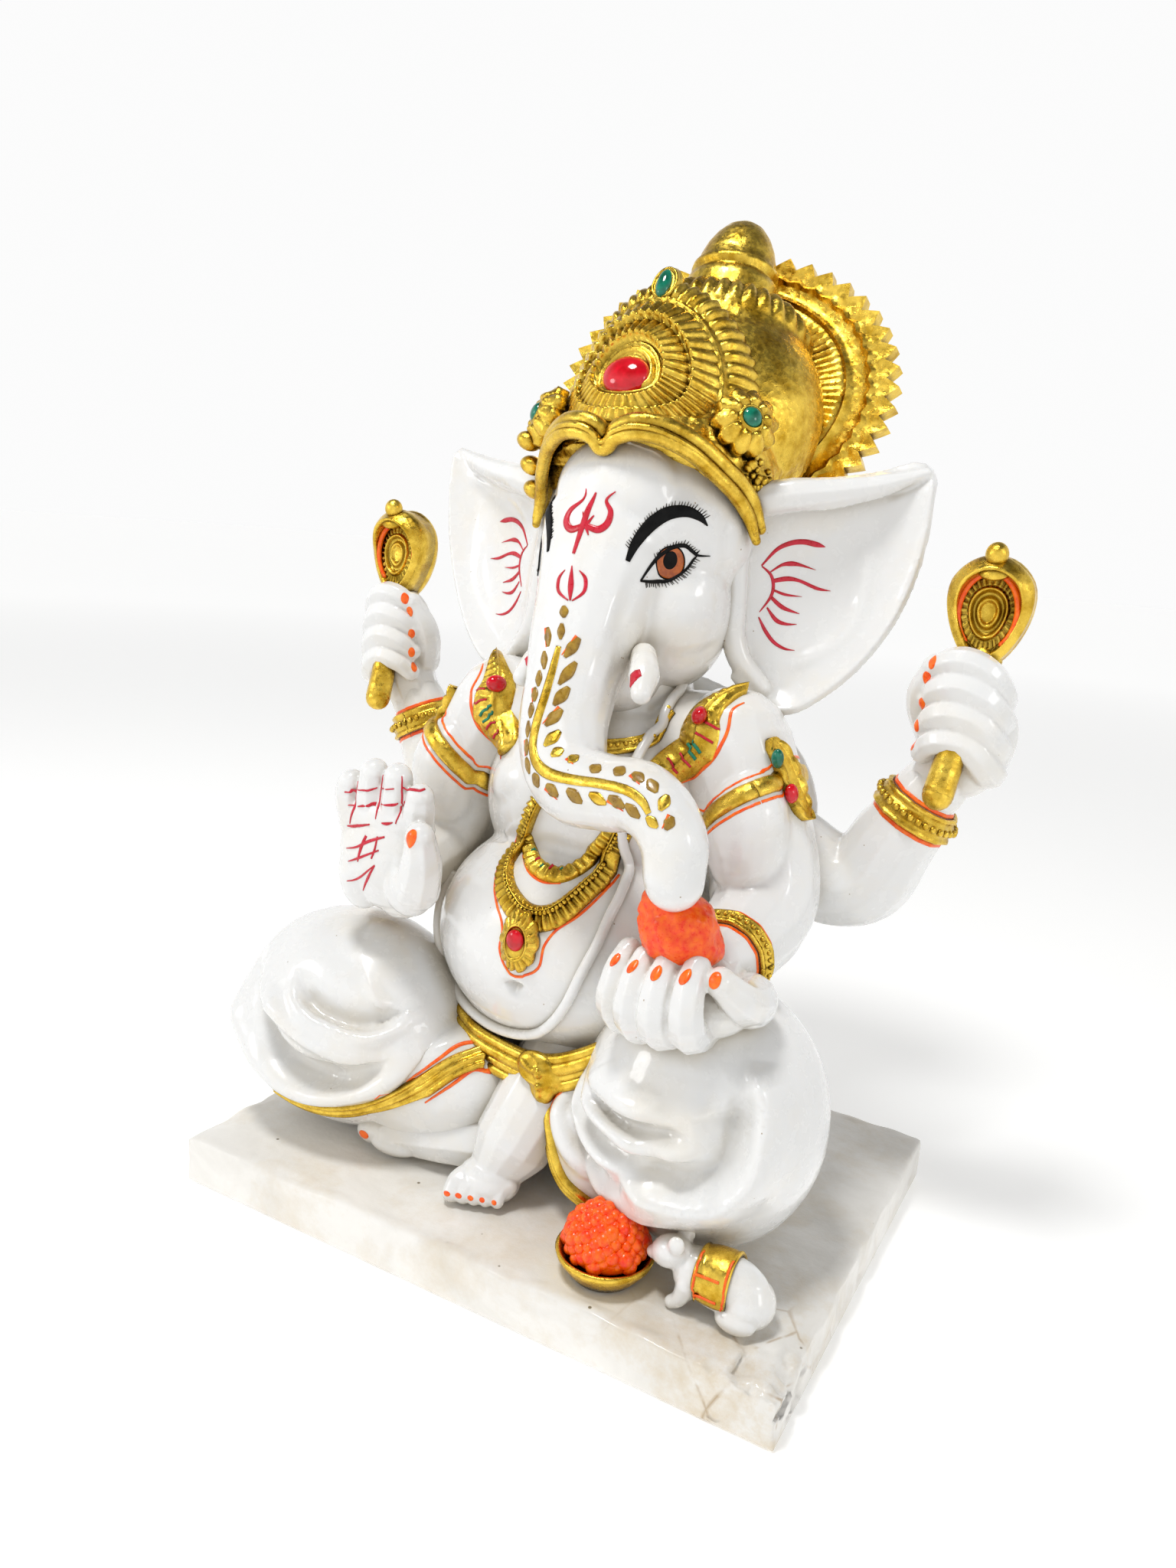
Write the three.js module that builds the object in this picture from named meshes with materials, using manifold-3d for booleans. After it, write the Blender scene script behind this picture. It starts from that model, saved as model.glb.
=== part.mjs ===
// Ganesha idol: a seated elephant-headed figure on a marble slab, cast in resin and dressed with gilt trim.
// Units are millimetres, +Z is up, the figure faces -Y and its own left hand is on the +X side.
// The origin is the centre of the slab's underside.
import * as THREE from 'three';
import { mergeVertices } from 'three/addons/utils/BufferGeometryUtils.js';
import Module from 'manifold-3d';

const wasm = await Module();
wasm.setup();

// Driving dimensions
const slabWidth = 210;
const slabDepth = 158;
const slabHeight = 16;
const bondGap = 0.3; // glue line between neighbouring pieces
const bellyFront = -49;
const headCentre = [4, 12, 220];
const headYaw = -8; // degrees that the face turns to its own right
const haloLean = 15; // degrees that each part of the crown leans back
const medallionLean = 23;
const domeLean = 27;
const haloHalfWidth = 62;
const haloHalfHeight = 49;
const haloTeeth = 32;
const medallionHalfWidth = 29;
const medallionHalfHeight = 33;

// Mesh detail
const blobSides = 8;
const blobRings = 5;
const limbSides = 7;
const ropeSides = 4;

const left = 1;
const right = -1;
const degree = Math.PI / 180;

// Solids from three.js geometry
function solidOf(geometry) {
  const bare = geometry.clone();
  bare.deleteAttribute('normal');
  bare.deleteAttribute('uv');
  const merged = mergeVertices(bare, 1e-4);
  const mesh = new wasm.Mesh({
    numProp: 3,
    vertProperties: new Float32Array(merged.attributes.position.array),
    triVerts: new Uint32Array(merged.index.array),
  });
  return new wasm.Manifold(mesh);
}

function geometryOf(solid) {
  const mesh = solid.getMesh();
  const geometry = new THREE.BufferGeometry();
  geometry.setAttribute('position', new THREE.BufferAttribute(new Float32Array(mesh.vertProperties), 3));
  geometry.setIndex(new THREE.BufferAttribute(new Uint32Array(mesh.triVerts), 1));
  geometry.computeVertexNormals();
  return geometry;
}

function joined(solids) {
  return solids.reduce((whole, next) => whole.add(next));
}

function largestBody(solid) {
  const bodies = solid.decompose();
  return bodies.reduce((best, next) => (next.volume() > best.volume() ? next : best));
}

// An ellipsoid; turn is a list of x, y and z rotations in degrees
function blob(centre, radii, grow, turn = [0, 0, 0], sides = blobSides, rings = blobRings) {
  const geometry = new THREE.SphereGeometry(1, sides, rings);
  geometry.rotateX(90 * degree);
  geometry.scale(radii[0] + grow, radii[1] + grow, radii[2] + grow);
  geometry.rotateX(turn[0] * degree);
  geometry.rotateY(turn[1] * degree);
  geometry.rotateZ(turn[2] * degree);
  geometry.translate(centre[0], centre[1], centre[2]);
  return solidOf(geometry);
}

function curveThrough(points) {
  return new THREE.CatmullRomCurve3(points.map((point) => new THREE.Vector3(...point)));
}

// A tapered tube along a curve, with a round blob on each end
function limb(points, radii, grow, sides = limbSides) {
  const steps = Math.max(points.length - 1, 3);
  const curve = curveThrough(points);
  const frames = curve.computeFrenetFrames(steps);
  const geometry = new THREE.CylinderGeometry(1, 1, 1, sides, steps);
  const position = geometry.attributes.position;
  const vertex = new THREE.Vector3();
  for (let i = 0; i < position.count; i += 1) {
    vertex.fromBufferAttribute(position, i);
    const along = Math.round((vertex.y + 0.5) * steps);
    const place = (along / steps) * (points.length - 1);
    const before = Math.min(Math.floor(place), points.length - 2);
    const radius = THREE.MathUtils.lerp(radii[before], radii[before + 1], place - before) + grow;
    const centre = curve.getPoint(along / steps);
    centre.addScaledVector(frames.normals[along], vertex.x * radius);
    centre.addScaledVector(frames.binormals[along], -vertex.z * radius);
    position.setXYZ(i, centre.x, centre.y, centre.z);
  }
  const last = points.length - 1;
  const firstEnd = [radii[0], radii[0], radii[0]];
  const lastEnd = [radii[last], radii[last], radii[last]];
  const ringCount = 3;
  return joined([
    solidOf(geometry),
    blob(points[0], firstEnd, grow, [0, 0, 0], sides, ringCount),
    blob(points[last], lastEnd, grow, [0, 0, 0], sides, ringCount),
  ]);
}

// A cord of one thickness along a curve
function rope(points, radius, grow, stepsPerSpan = 2) {
  const curve = curveThrough(points);
  const section = new THREE.Shape();
  section.absarc(0, 0, radius + grow, 0, 2 * Math.PI);
  const steps = (points.length - 1) * stepsPerSpan;
  const options = { steps, extrudePath: curve, curveSegments: ropeSides, bevelEnabled: false };
  return solidOf(new THREE.ExtrudeGeometry(section, options));
}

// A flat outline given thickness along its own normal, leaned back and set at a centre
function plate(outline, thickness, grow, centre, lean = 0, turn = 0) {
  const options = { depth: thickness + 2 * grow, bevelEnabled: false, curveSegments: 8 };
  const geometry = new THREE.ExtrudeGeometry(outline, options);
  geometry.translate(0, 0, -thickness / 2 - grow);
  geometry.rotateX((90 - lean) * degree);
  geometry.rotateZ(turn * degree);
  geometry.translate(centre[0], centre[1], centre[2]);
  return solidOf(geometry);
}

function roundOutline(halfWidth, halfHeight, count, wave = 0, waves = 0) {
  const points = [];
  for (let i = 0; i < count; i += 1) {
    const angle = (i / count) * 2 * Math.PI;
    const swell = 1 + wave * Math.cos(waves * angle);
    points.push(new THREE.Vector2(halfWidth * swell * Math.cos(angle), halfHeight * swell * Math.sin(angle)));
  }
  return new THREE.Shape(points);
}

// An oval ring, leaned back like a plate
function hoop(halfWidth, halfHeight, thickness, grow, centre, lean = 0, turn = 0, around = 28) {
  const geometry = new THREE.TorusGeometry(1, 0.5, ropeSides, around);
  const position = geometry.attributes.position;
  for (let i = 0; i < position.count; i += 1) {
    const x = position.getX(i);
    const y = position.getY(i);
    const z = position.getZ(i);
    const distance = Math.hypot(x, y);
    const outward = 2 * (distance - 1) * (thickness + grow);
    const across = x / distance;
    const up = y / distance;
    position.setXYZ(i, across * (halfWidth + outward), up * (halfHeight + outward), 2 * z * (thickness + grow));
  }
  geometry.rotateX((90 - lean) * degree);
  geometry.rotateZ(turn * degree);
  geometry.translate(centre[0], centre[1], centre[2]);
  return solidOf(geometry);
}

// A body of revolution about an axis that leans back from the vertical
function turned(profile, grow, centre, lean = 0, sides = 20) {
  const points = profile.map(([radius, height]) => new THREE.Vector2(radius > 0 ? radius + grow : 0, height));
  points[0].y -= grow;
  points[points.length - 1].y += grow;
  const geometry = new THREE.LatheGeometry(points, sides);
  geometry.rotateX((90 - lean) * degree);
  geometry.translate(centre[0], centre[1], centre[2]);
  return solidOf(geometry);
}

function block(low, high) {
  const geometry = new THREE.BoxGeometry(high[0] - low[0], high[1] - low[1], high[2] - low[2]);
  geometry.translate((low[0] + high[0]) / 2, (low[1] + high[1]) / 2, (low[2] + high[2]) / 2);
  return solidOf(geometry);
}

// A thick disc across a limb, used to take a slice of it for a band
function slice(centre, direction, radius, width) {
  const geometry = new THREE.CylinderGeometry(radius, radius, width, 10);
  const axis = new THREE.Vector3(...direction).normalize();
  const turn = new THREE.Quaternion().setFromUnitVectors(new THREE.Vector3(0, 1, 0), axis);
  geometry.applyQuaternion(turn);
  geometry.translate(centre[0], centre[1], centre[2]);
  return solidOf(geometry);
}

function onSide(side, point) {
  return [side * point[0], point[1], point[2]];
}

function sidePoints(side, points) {
  return points.map((point) => onSide(side, point));
}

// The slab
function baseSlab(grow) {
  const outline = new THREE.Shape();
  const halfX = slabWidth / 2 - 1 + grow;
  const halfY = slabDepth / 2 - 1 + grow;
  outline.moveTo(-halfX, -halfY);
  outline.lineTo(halfX, -halfY);
  outline.lineTo(halfX, halfY);
  outline.lineTo(-halfX, halfY);
  const bevel = { bevelEnabled: true, bevelThickness: 1, bevelSize: 1, bevelSegments: 2 };
  const geometry = new THREE.ExtrudeGeometry(outline, { depth: slabHeight - 2 + grow, ...bevel });
  geometry.translate(0, 0, 1);
  return solidOf(geometry);
}

// The trunk of the body: belly, chest, shoulders, neck, seat and the drape that hangs down the back
const bellyCentre = [0, bellyFront + 43, 94];
const bellyRadii = [50, 43, 39];
const chestCentre = [0, 4, 138];
const chestRadii = [43, 33, 38];

function torso(grow) {
  return joined([
    blob(bellyCentre, bellyRadii, grow, [0, 0, 0], 12, 8),
    blob(chestCentre, chestRadii, grow, [0, 0, 0], 10, 6),
    blob([30, 6, 160], [20, 19, 19], grow),
    blob([-30, 6, 160], [20, 19, 19], grow),
    blob([0, 8, 176], [24, 22, 22], grow),
    blob([0, 16, 48], [50, 42, 36], grow),
    blob([0, 32, 138], [64, 10, 44], grow),
  ]);
}

// Front surface of the belly and chest at a given place across and up
function frontOfTorso(x, z) {
  const fronts = [
    [bellyCentre, bellyRadii],
    [chestCentre, chestRadii],
  ].map(([centre, radii]) => {
    const rest = 1 - ((x - centre[0]) / radii[0]) ** 2 - ((z - centre[2]) / radii[2]) ** 2;
    return rest > 0 ? centre[1] - radii[1] * Math.sqrt(rest) : 0;
  });
  return Math.min(...fronts);
}

function onTorso(places, lift = 0) {
  return places.map(([x, z]) => [x, frontOfTorso(x, z) - lift, z]);
}

// Folded legs under the dhoti, one fuller than the other
function rightLeg(grow) {
  return joined([
    blob([-69, -33, 54], [44, 33, 38], grow, [0, 0, 0], 12, 7),
    blob([-40, 0, 50], [36, 34, 34], grow),
    blob([-38, -34, 40], [34, 19, 22], grow, [0, -22, 0]),
  ]);
}

function leftLeg(grow) {
  return joined([
    blob([57, -27, 58], [38, 35, 42], grow, [0, 0, 0], 12, 7),
    blob([38, 4, 50], [34, 34, 34], grow),
    blob([28, -30, 42], [18, 20, 26], grow),
  ]);
}

function frontFoot(grow) {
  const toes = [-12, -5, 2].map((x) => blob([x, -55.5, 21], [4, 5, 4.2], grow, [0, 0, 0], 5, 4));
  return joined([
    limb([[7, -24, 60], [3, -36, 44], [-1, -43, 30]], [10, 10, 11], grow),
    blob([-4, -48, 23], [13, 9, 7], grow),
    ...toes,
  ]);
}

function tuckedFoot(grow) {
  return joined([
    limb([[-10, -36, 27], [-30, -41, 25], [-46, -45, 22.5]], [10, 8, 5.5], grow),
    blob([-51, -46, 22.5], [5, 4, 4], grow, [0, 0, 0], 6, 4),
  ]);
}

// Arms: the front pair reaches forward, the rear pair rises from behind the shoulders
const frontArmRoute = [[42, 4, 163], [52, 2, 142], [60, -3, 119], [60, -20, 110], [59, -34, 107]];
const frontArmRadii = [19, 18, 17, 14, 11];
const rearArmRoute = [[36, 22, 150], [58, 28, 126], [78, 31, 121], [90, 30, 138], [98, 29, 154]];
const rearArmRadii = [14, 16, 15.5, 13.5, 11];

function frontArm(side, grow) {
  return limb(sidePoints(side, frontArmRoute), frontArmRadii, grow);
}

function rearArm(side, grow) {
  return limb(sidePoints(side, rearArmRoute), rearArmRadii, grow);
}

function bandOn(armSolid, centre, direction, width, proud) {
  return (grow) => armSolid(proud + grow).intersect(slice(centre, direction, 24, width + 2 * grow));
}

// Open hand raised in blessing
function frontRightHand(grow) {
  const fingers = [-60, -52, -44, -36].map((x, i) => {
    const reach = [14, 17, 18, 15][i];
    return blob([x, -51, 133], [4.8, 4.6, reach], grow, [0, 0, 0], 5, 3);
  });
  return joined([
    blob([-47, -49, 119], [17, 8.5, 16], grow),
    blob([-45, -43, 111], [10.5, 10.5, 10.5], grow),
    blob([-32, -53, 123], [6, 6.5, 13], grow, [10, 12, 0], 7, 5),
    ...fingers,
  ]);
}

// Cupped hand, palm up, that holds the sweet
function frontLeftHand(grow) {
  const fingers = [38, 46, 54, 62].map((x, i) => blob([x, -59 + i, 104], [4.8, 5, 9], grow, [0, 0, 0], 5, 3));
  return joined([
    blob([55, -44, 102], [19, 15, 11], grow, [0, 0, 0], 10),
    blob([70, -53, 108], [5.5, 10, 6], grow, [0, 0, 0], 6, 4),
    ...fingers,
  ]);
}

// Closed fist round the handle of an emblem
function rearFist(side, grow) {
  const knuckles = [170, 177, 184, 191].map((z, i) => {
    const out = [105, 107, 107, 105][i];
    return blob(onSide(side, [out, 19, z]), [11, 7, 4.6], grow, [0, 0, side * 12], 6, 3);
  });
  return joined([
    blob(onSide(side, [107, 27, 180]), [13.5, 11, 19], grow),
    blob(onSide(side, [102, 28.5, 164]), [10.5, 10.5, 12], grow),
    ...knuckles,
  ]);
}

// Head with the trunk that curls to the sweet
const trunkRoute = [
  [0, -6, 220], [0, -19, 198], [1, -30, 177], [5, -39, 163], [13, -46, 154], [27, -50, 154],
  [41, -54, 155], [51, -57, 147], [53, -58, 138],
];
const trunkRadii = [26, 18, 14, 13, 12.2, 11, 10.2, 9.4, 8.6];

function headAndTrunk(grow) {
  return joined([
    blob([headCentre[0], headCentre[1], headCentre[2] + 6], [34, 34, 36], grow, [0, 0, headYaw], 10, 7),
    blob([18, 4, 204], [18, 21, 27], grow, [0, 0, headYaw]),
    blob([-12, 7, 204], [17, 21, 27], grow, [0, 0, headYaw]),
    blob([3, -6, 178], [17, 17, 12], grow),
    limb(trunkRoute, trunkRadii, grow, 8),
  ]);
}

function ear(side, grow) {
  const yaw = side * 22;
  return joined([
    blob(onSide(side, [58, 17, 212]), [28, 3.2, 33], grow, [0, 0, yaw], 10, 6),
    limb(sidePoints(side, [[36, 8, 236], [60, 19, 242], [84, 28, 249]]), [6, 5, 2], grow, 5),
    limb(sidePoints(side, [[84, 28, 247], [85, 28, 221], [74, 21, 192], [56, 12, 177]]), [2, 3.4, 4, 4], grow, 5),
    blob(onSide(side, [38, 9, 208]), [7, 5, 27], grow, [0, 0, 0], 6, 4),
    blob(onSide(side, [73, 24, 231]), [12, 3, 15], grow, [0, side * 30, yaw], 7, 4),
  ]);
}

function tusk(side, grow) {
  return limb(sidePoints(side, [[20, -22, 188], [25, -30, 184], [28, -36, 179]]), [5, 5, 3], grow, 5);
}

function sacredThread(grow) {
  const places = [[14, 158], [26, 140], [29, 122], [25, 100], [15, 78], [0, 68], [-18, 68], [-36, 76], [-46, 90]];
  return rope(onTorso(places, 0.6), 2, grow, 1);
}

// Crown
const domeCentre = [2, 38, 266];
const haloCentre = [1, 60, 274];
const medallionCentre = [2, 3.5, 272];
const rosettePlace = [35, 6, 262];

function crownDome(grow) {
  const cap = joined([
    blob(domeCentre, [45, 34, 43], grow, [-domeLean, 0, 0], 12, 8),
    turned([[0, 0], [27, 0], [28, 6], [24, 13], [0, 13]], grow, [3, 49, 297], domeLean, 12),
  ]);
  return cap.intersect(block([-60, -30, 238 - grow], [60, 110, 340]));
}

function crownFinial(grow) {
  const profile = [[0, 0], [16, 0], [16, 4], [11, 5], [11.5, 10], [8, 18], [3, 23], [0, 24]];
  return turned(profile, grow, [4, 57, 311], domeLean, 14);
}

function crownMedallion(grow) {
  const outline = roundOutline(medallionHalfWidth + grow, medallionHalfHeight + grow, 16);
  const ridges = [1, 0.55].map((share) => {
    const width = medallionHalfWidth * share - 2;
    const height = medallionHalfHeight * share - 2;
    const lower = (1 - share) * 10;
    const centre = [medallionCentre[0], medallionCentre[1] - 3.5 - lower * 0.42, medallionCentre[2] - lower];
    return hoop(width, height, 2.6, grow, centre, medallionLean, 0, 12);
  });
  return joined([plate(outline, 7, grow, medallionCentre, medallionLean), ...ridges]);
}

function crownHalo(grow) {
  const outline = [];
  for (let i = 0; i < haloTeeth * 2; i += 1) {
    const angle = (i / (haloTeeth * 2)) * 2 * Math.PI;
    const reach = i % 2 === 0 ? 0 : -3.5;
    const across = (haloHalfWidth + reach + grow) * Math.cos(angle);
    const up = (haloHalfHeight + reach + grow) * Math.sin(angle);
    outline.push(new THREE.Vector2(across, up));
  }
  return plate(new THREE.Shape(outline), 4, grow, haloCentre, haloLean);
}

function crownBrowBand(grow) {
  const half = [[0, -23, 249], [10, -24, 252.5], [22, -18, 250], [31, -8, 243], [37, 3, 233], [38, 6, 227]];
  const mirrored = half.slice(1).reverse().map((point) => onSide(right, point));
  const points = [...mirrored, ...half];
  return rope(points.map(([x, y, z]) => [x + headCentre[0] / 2, y + 1, z + 2]), 4.6, grow, 1);
}

function crownRosette(side, grow) {
  const outline = roundOutline(8.5 + grow, 8.5 + grow, 16, 0.1, 8);
  const centre = onSide(side, rosettePlace);
  return joined([
    plate(outline, 7, grow, centre, haloLean, side * 40),
    hoop(4.6, 4.6, 1.4, grow, onSide(side, [37.3, 3.3, 261.3]), haloLean, side * 40, 8),
  ]);
}

// Gilt trim
function waistBelt(grow) {
  const points = [[-42, -24, 66], [-24, -36, 59], [0, -41, 58], [22, -40, 64], [40, -30, 76]];
  return rope(points, 4.5, grow, 1);
}

function beltKnot(grow) {
  const outline = new THREE.Shape();
  outline.moveTo(-9 - grow, 4 + grow);
  outline.lineTo(-2, -9 - grow);
  outline.lineTo(2, -9 - grow);
  outline.lineTo(9 + grow, 4 + grow);
  return plate(outline, 8, grow, [6, -43, 58], 0);
}

function rightHem(grow) {
  const points = [[-88, -50, 32], [-72, -56, 24], [-52, -55, 28], [-34, -53, 40], [-18, -48, 52], [-6, -43, 64]];
  return rope(points, 4.6, grow, 1);
}

function leftHem(grow) {
  const points = [[6, -36, 60], [8, -43, 50], [11, -46, 38], [19, -45, 27], [33, -42, 21]];
  return rope(points, 4, grow, 1);
}

function longNecklace(grow) {
  const half = [[4, 107], [14, 116], [20, 130], [24, 146], [30, 160]];
  const places = [...half.slice().reverse().map(([x, z]) => [-x, z]), ...half];
  const drop = roundOutline(9.5 + grow, 11 + grow, 14);
  return joined([
    rope(onTorso(places, 0.5), 3, grow, 1),
    plate(drop, 7, grow, [0, bellyFront + 0.8, 101], -8),
  ]);
}

function shortNecklace(grow) {
  const places = [[-17, 150], [-13, 136], [-5, 128], [5, 128], [13, 136], [17, 150]];
  return rope(onTorso(places, 0.3), 2.6, grow, 1);
}

function collarBand(grow) {
  const places = [[-26, 172], [-15, 163], [0, 159], [15, 163], [26, 172]];
  return rope(places.map(([x, z]) => [x, Math.min(frontOfTorso(x, z), -10) - 1, z]), 3, grow);
}

function shoulderPad(side, grow) {
  return blob(onSide(side, [34, -11, 168]), [10, 7, 19], grow, [-18, side * 38, side * 18], 10, 6);
}

function armlet(side, grow) {
  const arm = (more) => frontArm(side, more);
  const band = bandOn(arm, onSide(side, [51, 2, 147]), onSide(side, [12, -3, -23]), 9, 2.4)(grow);
  const wing = blob(onSide(side, [64, -3, 152]), [4, 6, 12], grow, [0, 0, 0], 6, 4);
  return band.add(wing);
}

function frontBangle(side, grow) {
  const arm = (more) => frontArm(side, more);
  return bandOn(arm, onSide(side, [59.5, -28, 108]), onSide(side, [0, -14, -2]), 6, 2.6)(grow);
}

function rearBangle(side, grow) {
  const arm = (more) => rearArm(side, more);
  return bandOn(arm, onSide(side, [95.5, 29.3, 149]), onSide(side, [8, 0, 16]), 9, 2.6)(grow);
}

// Hooded emblem gripped by a rear fist
function emblem(side, grow) {
  const outline = roundOutline(12 + grow, 16.5 + grow, 14);
  return joined([
    plate(outline, 9, grow, onSide(side, [108, 29, 212]), 0, side * 6),
    hoop(8.5, 12, 1.6, grow, onSide(side, [108, 24.4, 211]), 0, side * 6, 10),
    blob(onSide(side, [108.5, 29, 229.5]), [3.6, 3.6, 3.6], grow, [0, 0, 0], 6, 4),
    limb(sidePoints(side, [[109, 27, 203], [107, 20, 180], [104.5, 13, 161]]), [5.5, 4.5, 3.6], grow, 5),
  ]);
}

// Stones
function oval(centre, radii, turn = [0, 0, 0]) {
  return (grow) => blob(centre, radii, grow, turn, 7, 4);
}

// Sweets and the mouse
function plateOfSweets(grow) {
  const profile = [[0, 0], [8, 0], [12.5, 5], [13, 6.5], [10, 6.5], [0, 5]];
  return turned(profile, grow, [45, -60, slabHeight + bondGap], 0, 14);
}

function laddooHeap(grow) {
  const balls = [[44, -60, 31.5], [50, -62, 26.5], [38, -61, 26.5], [45, -66, 26.5], [43, -54, 26.5]];
  return joined([
    blob([44, -60, 26], [8, 8, 5], grow),
    ...balls.map((centre) => blob(centre, [4.4, 4.4, 4.4], grow, [0, 0, 0], 5, 3)),
  ]);
}

function mouseBody(grow) {
  return joined([
    blob([80, -57, 25.5], [14, 7.5, 9], grow),
    blob([86, -57, 22], [8, 8, 5.5], grow, [0, 0, 0], 6, 4),
    blob([64, -59, 30.5], [8, 5, 5.2], grow, [0, 14, 0], 6, 5),
    blob([65, -59, 35.5], [2.4, 6, 3], grow, [0, 0, 0], 6, 4),
    blob([69, -58, 22.5], [5, 7, 7], grow, [0, 0, 0], 6, 4),
  ]);
}

function saddleCloth(grow) {
  return mouseBody(1.6 + grow).intersect(block([73 - grow, -72, 23 - grow], [83 + grow, -44, 45]));
}

// Finishes
const white = { color: 0xf1efe9, roughness: 0.22, metalness: 0 };
const marble = { color: 0xe6e1d8, roughness: 0.35, metalness: 0 };
const gilt = { color: 0xd9a520, roughness: 0.28, metalness: 1 };
const redStone = { color: 0xc01024, roughness: 0.15, metalness: 0 };
const greenStone = { color: 0x0a6b4c, roughness: 0.15, metalness: 0 };
const orangePaint = { color: 0xff5a10, roughness: 0.3, metalness: 0 };

const both = (name, shape, finish) => [
  [`${name}_right`, (grow) => shape(right, grow), finish],
  [`${name}_left`, (grow) => shape(left, grow), finish],
];

// Each piece is cut back from every piece listed before it
const pieces = [
  ['base_slab', baseSlab, marble],
  ['torso', torso, white],
  ['right_leg', rightLeg, white],
  ['left_leg', leftLeg, white],
  ['front_foot', frontFoot, white],
  ['tucked_foot', tuckedFoot, white],
  ['front_right_arm', (grow) => frontArm(right, grow), white],
  ['front_left_arm', (grow) => frontArm(left, grow), white],
  ['rear_right_arm', (grow) => rearArm(right, grow), white],
  ['rear_left_arm', (grow) => rearArm(left, grow), white],
  ['front_right_hand', frontRightHand, white],
  ['front_left_hand', frontLeftHand, white],
  ['rear_right_fist', (grow) => rearFist(right, grow), white],
  ['rear_left_fist', (grow) => rearFist(left, grow), white],
  ['head_and_trunk', headAndTrunk, white],
  ['right_ear', (grow) => ear(right, grow), white],
  ['left_ear', (grow) => ear(left, grow), white],
  ['right_tusk', (grow) => tusk(right, grow), white],
  ['left_tusk', (grow) => tusk(left, grow), white],
  ['sacred_thread', sacredThread, white],
  ['crown_brow_band', crownBrowBand, gilt],
  ...both('crown_rosette', crownRosette, gilt),
  ['crown_medallion', crownMedallion, gilt],
  ['crown_finial', crownFinial, gilt],
  ['crown_dome', crownDome, gilt],
  ['crown_halo', crownHalo, gilt],
  ['belt_knot', beltKnot, gilt],
  ['waist_belt', waistBelt, gilt],
  ['right_hem', rightHem, gilt],
  ['left_hem', leftHem, gilt],
  ['short_necklace', shortNecklace, gilt],
  ['long_necklace', longNecklace, gilt],
  ['collar_band', collarBand, gilt],
  ...both('shoulder_pad', shoulderPad, gilt),
  ...both('armlet', armlet, gilt),
  ...both('bangle_front', frontBangle, gilt),
  ...both('bangle_rear', rearBangle, gilt),
  ...both('emblem', emblem, gilt),
  ['crown_ruby', oval([1, -4.5, 268], [7.5, 4, 6.5], [-medallionLean, 0, 0]), redStone],
  ['crown_top_emerald', oval([3, 12, 302], [3, 3, 5.5], [-medallionLean, 0, 0]), greenStone],
  ['rosette_emerald_right', oval([-37, 3, 261.6], [3.2, 3, 3.2]), greenStone],
  ['rosette_emerald_left', oval([37, 3, 261.6], [3.2, 3, 3.2]), greenStone],
  ['pendant_ruby', oval([0, bellyFront - 3, 103], [4.2, 3, 4.8]), redStone],
  ['shoulder_ruby_right', oval([-39, -15, 177], [3, 3, 4.2], [0, -38, 0]), redStone],
  ['shoulder_ruby_left', oval([39, -15, 177], [3, 3, 4.2], [0, 38, 0]), redStone],
  ['armlet_ruby', oval([66.5, -6, 150], [2.6, 3, 3.4]), redStone],
  ['armlet_emerald', oval([65.5, -6, 159], [2.4, 3, 3.2]), greenStone],
  ['modak', oval([52, -55, 124], [9.5, 9, 10]), orangePaint],
  ['plate', plateOfSweets, gilt],
  ['laddoo_heap', laddooHeap, orangePaint],
  ['mouse', mouseBody, white],
  ['saddle_cloth', saddleCloth, gilt],
];

function overlapping(a, b) {
  const boxA = a.boundingBox();
  const boxB = b.boundingBox();
  return [0, 1, 2].every((axis) => boxA.min[axis] < boxB.max[axis] && boxB.min[axis] < boxA.max[axis]);
}

const idol = new THREE.Group();
const placed = [];
for (const [name, shape, finish] of pieces) {
  let solid = shape(0);
  for (const neighbour of placed) {
    if (overlapping(solid, neighbour)) {
      solid = solid.subtract(neighbour);
    }
  }
  const mesh = new THREE.Mesh(geometryOf(largestBody(solid)), new THREE.MeshStandardMaterial(finish));
  mesh.name = name;
  idol.add(mesh);
  placed.push(shape(bondGap));
}

export default idol;
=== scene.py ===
import math
import random

import bmesh
import bpy
from mathutils import Euler, Matrix, Vector, kdtree, noise
from mathutils.bvhtree import BVHTree


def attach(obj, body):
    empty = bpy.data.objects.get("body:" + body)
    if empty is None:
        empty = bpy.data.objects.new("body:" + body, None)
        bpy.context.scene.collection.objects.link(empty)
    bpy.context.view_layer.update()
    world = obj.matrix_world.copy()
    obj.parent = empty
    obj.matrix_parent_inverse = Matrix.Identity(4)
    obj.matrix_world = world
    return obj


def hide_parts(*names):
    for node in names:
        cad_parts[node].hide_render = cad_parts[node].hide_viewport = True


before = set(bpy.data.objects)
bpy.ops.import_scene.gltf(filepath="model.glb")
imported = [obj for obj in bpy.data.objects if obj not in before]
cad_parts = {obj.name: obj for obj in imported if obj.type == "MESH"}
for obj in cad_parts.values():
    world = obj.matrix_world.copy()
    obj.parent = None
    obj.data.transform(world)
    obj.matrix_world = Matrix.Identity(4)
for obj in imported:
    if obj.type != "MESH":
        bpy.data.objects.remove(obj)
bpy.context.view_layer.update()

# A painted, gilded idol of marble-dust resin on a marble slab. Sizes are in millimetres until makePiece.
metresPerMillimetre = 0.001
random.seed(7)
skins = {}      # surfaces that bands, stones and paint are laid on
bothSides = ((-1, "Right"), (1, "Left"))


# Shapes

def place(centre, turn=(0, 0, 0), size=(1, 1, 1)):
    angles = Euler([math.radians(angle) for angle in turn])
    return Matrix.LocRotScale(Vector(centre), angles, Vector(size))


def mirrorX(point, side):
    return (point[0] * side, *point[1:])


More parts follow.
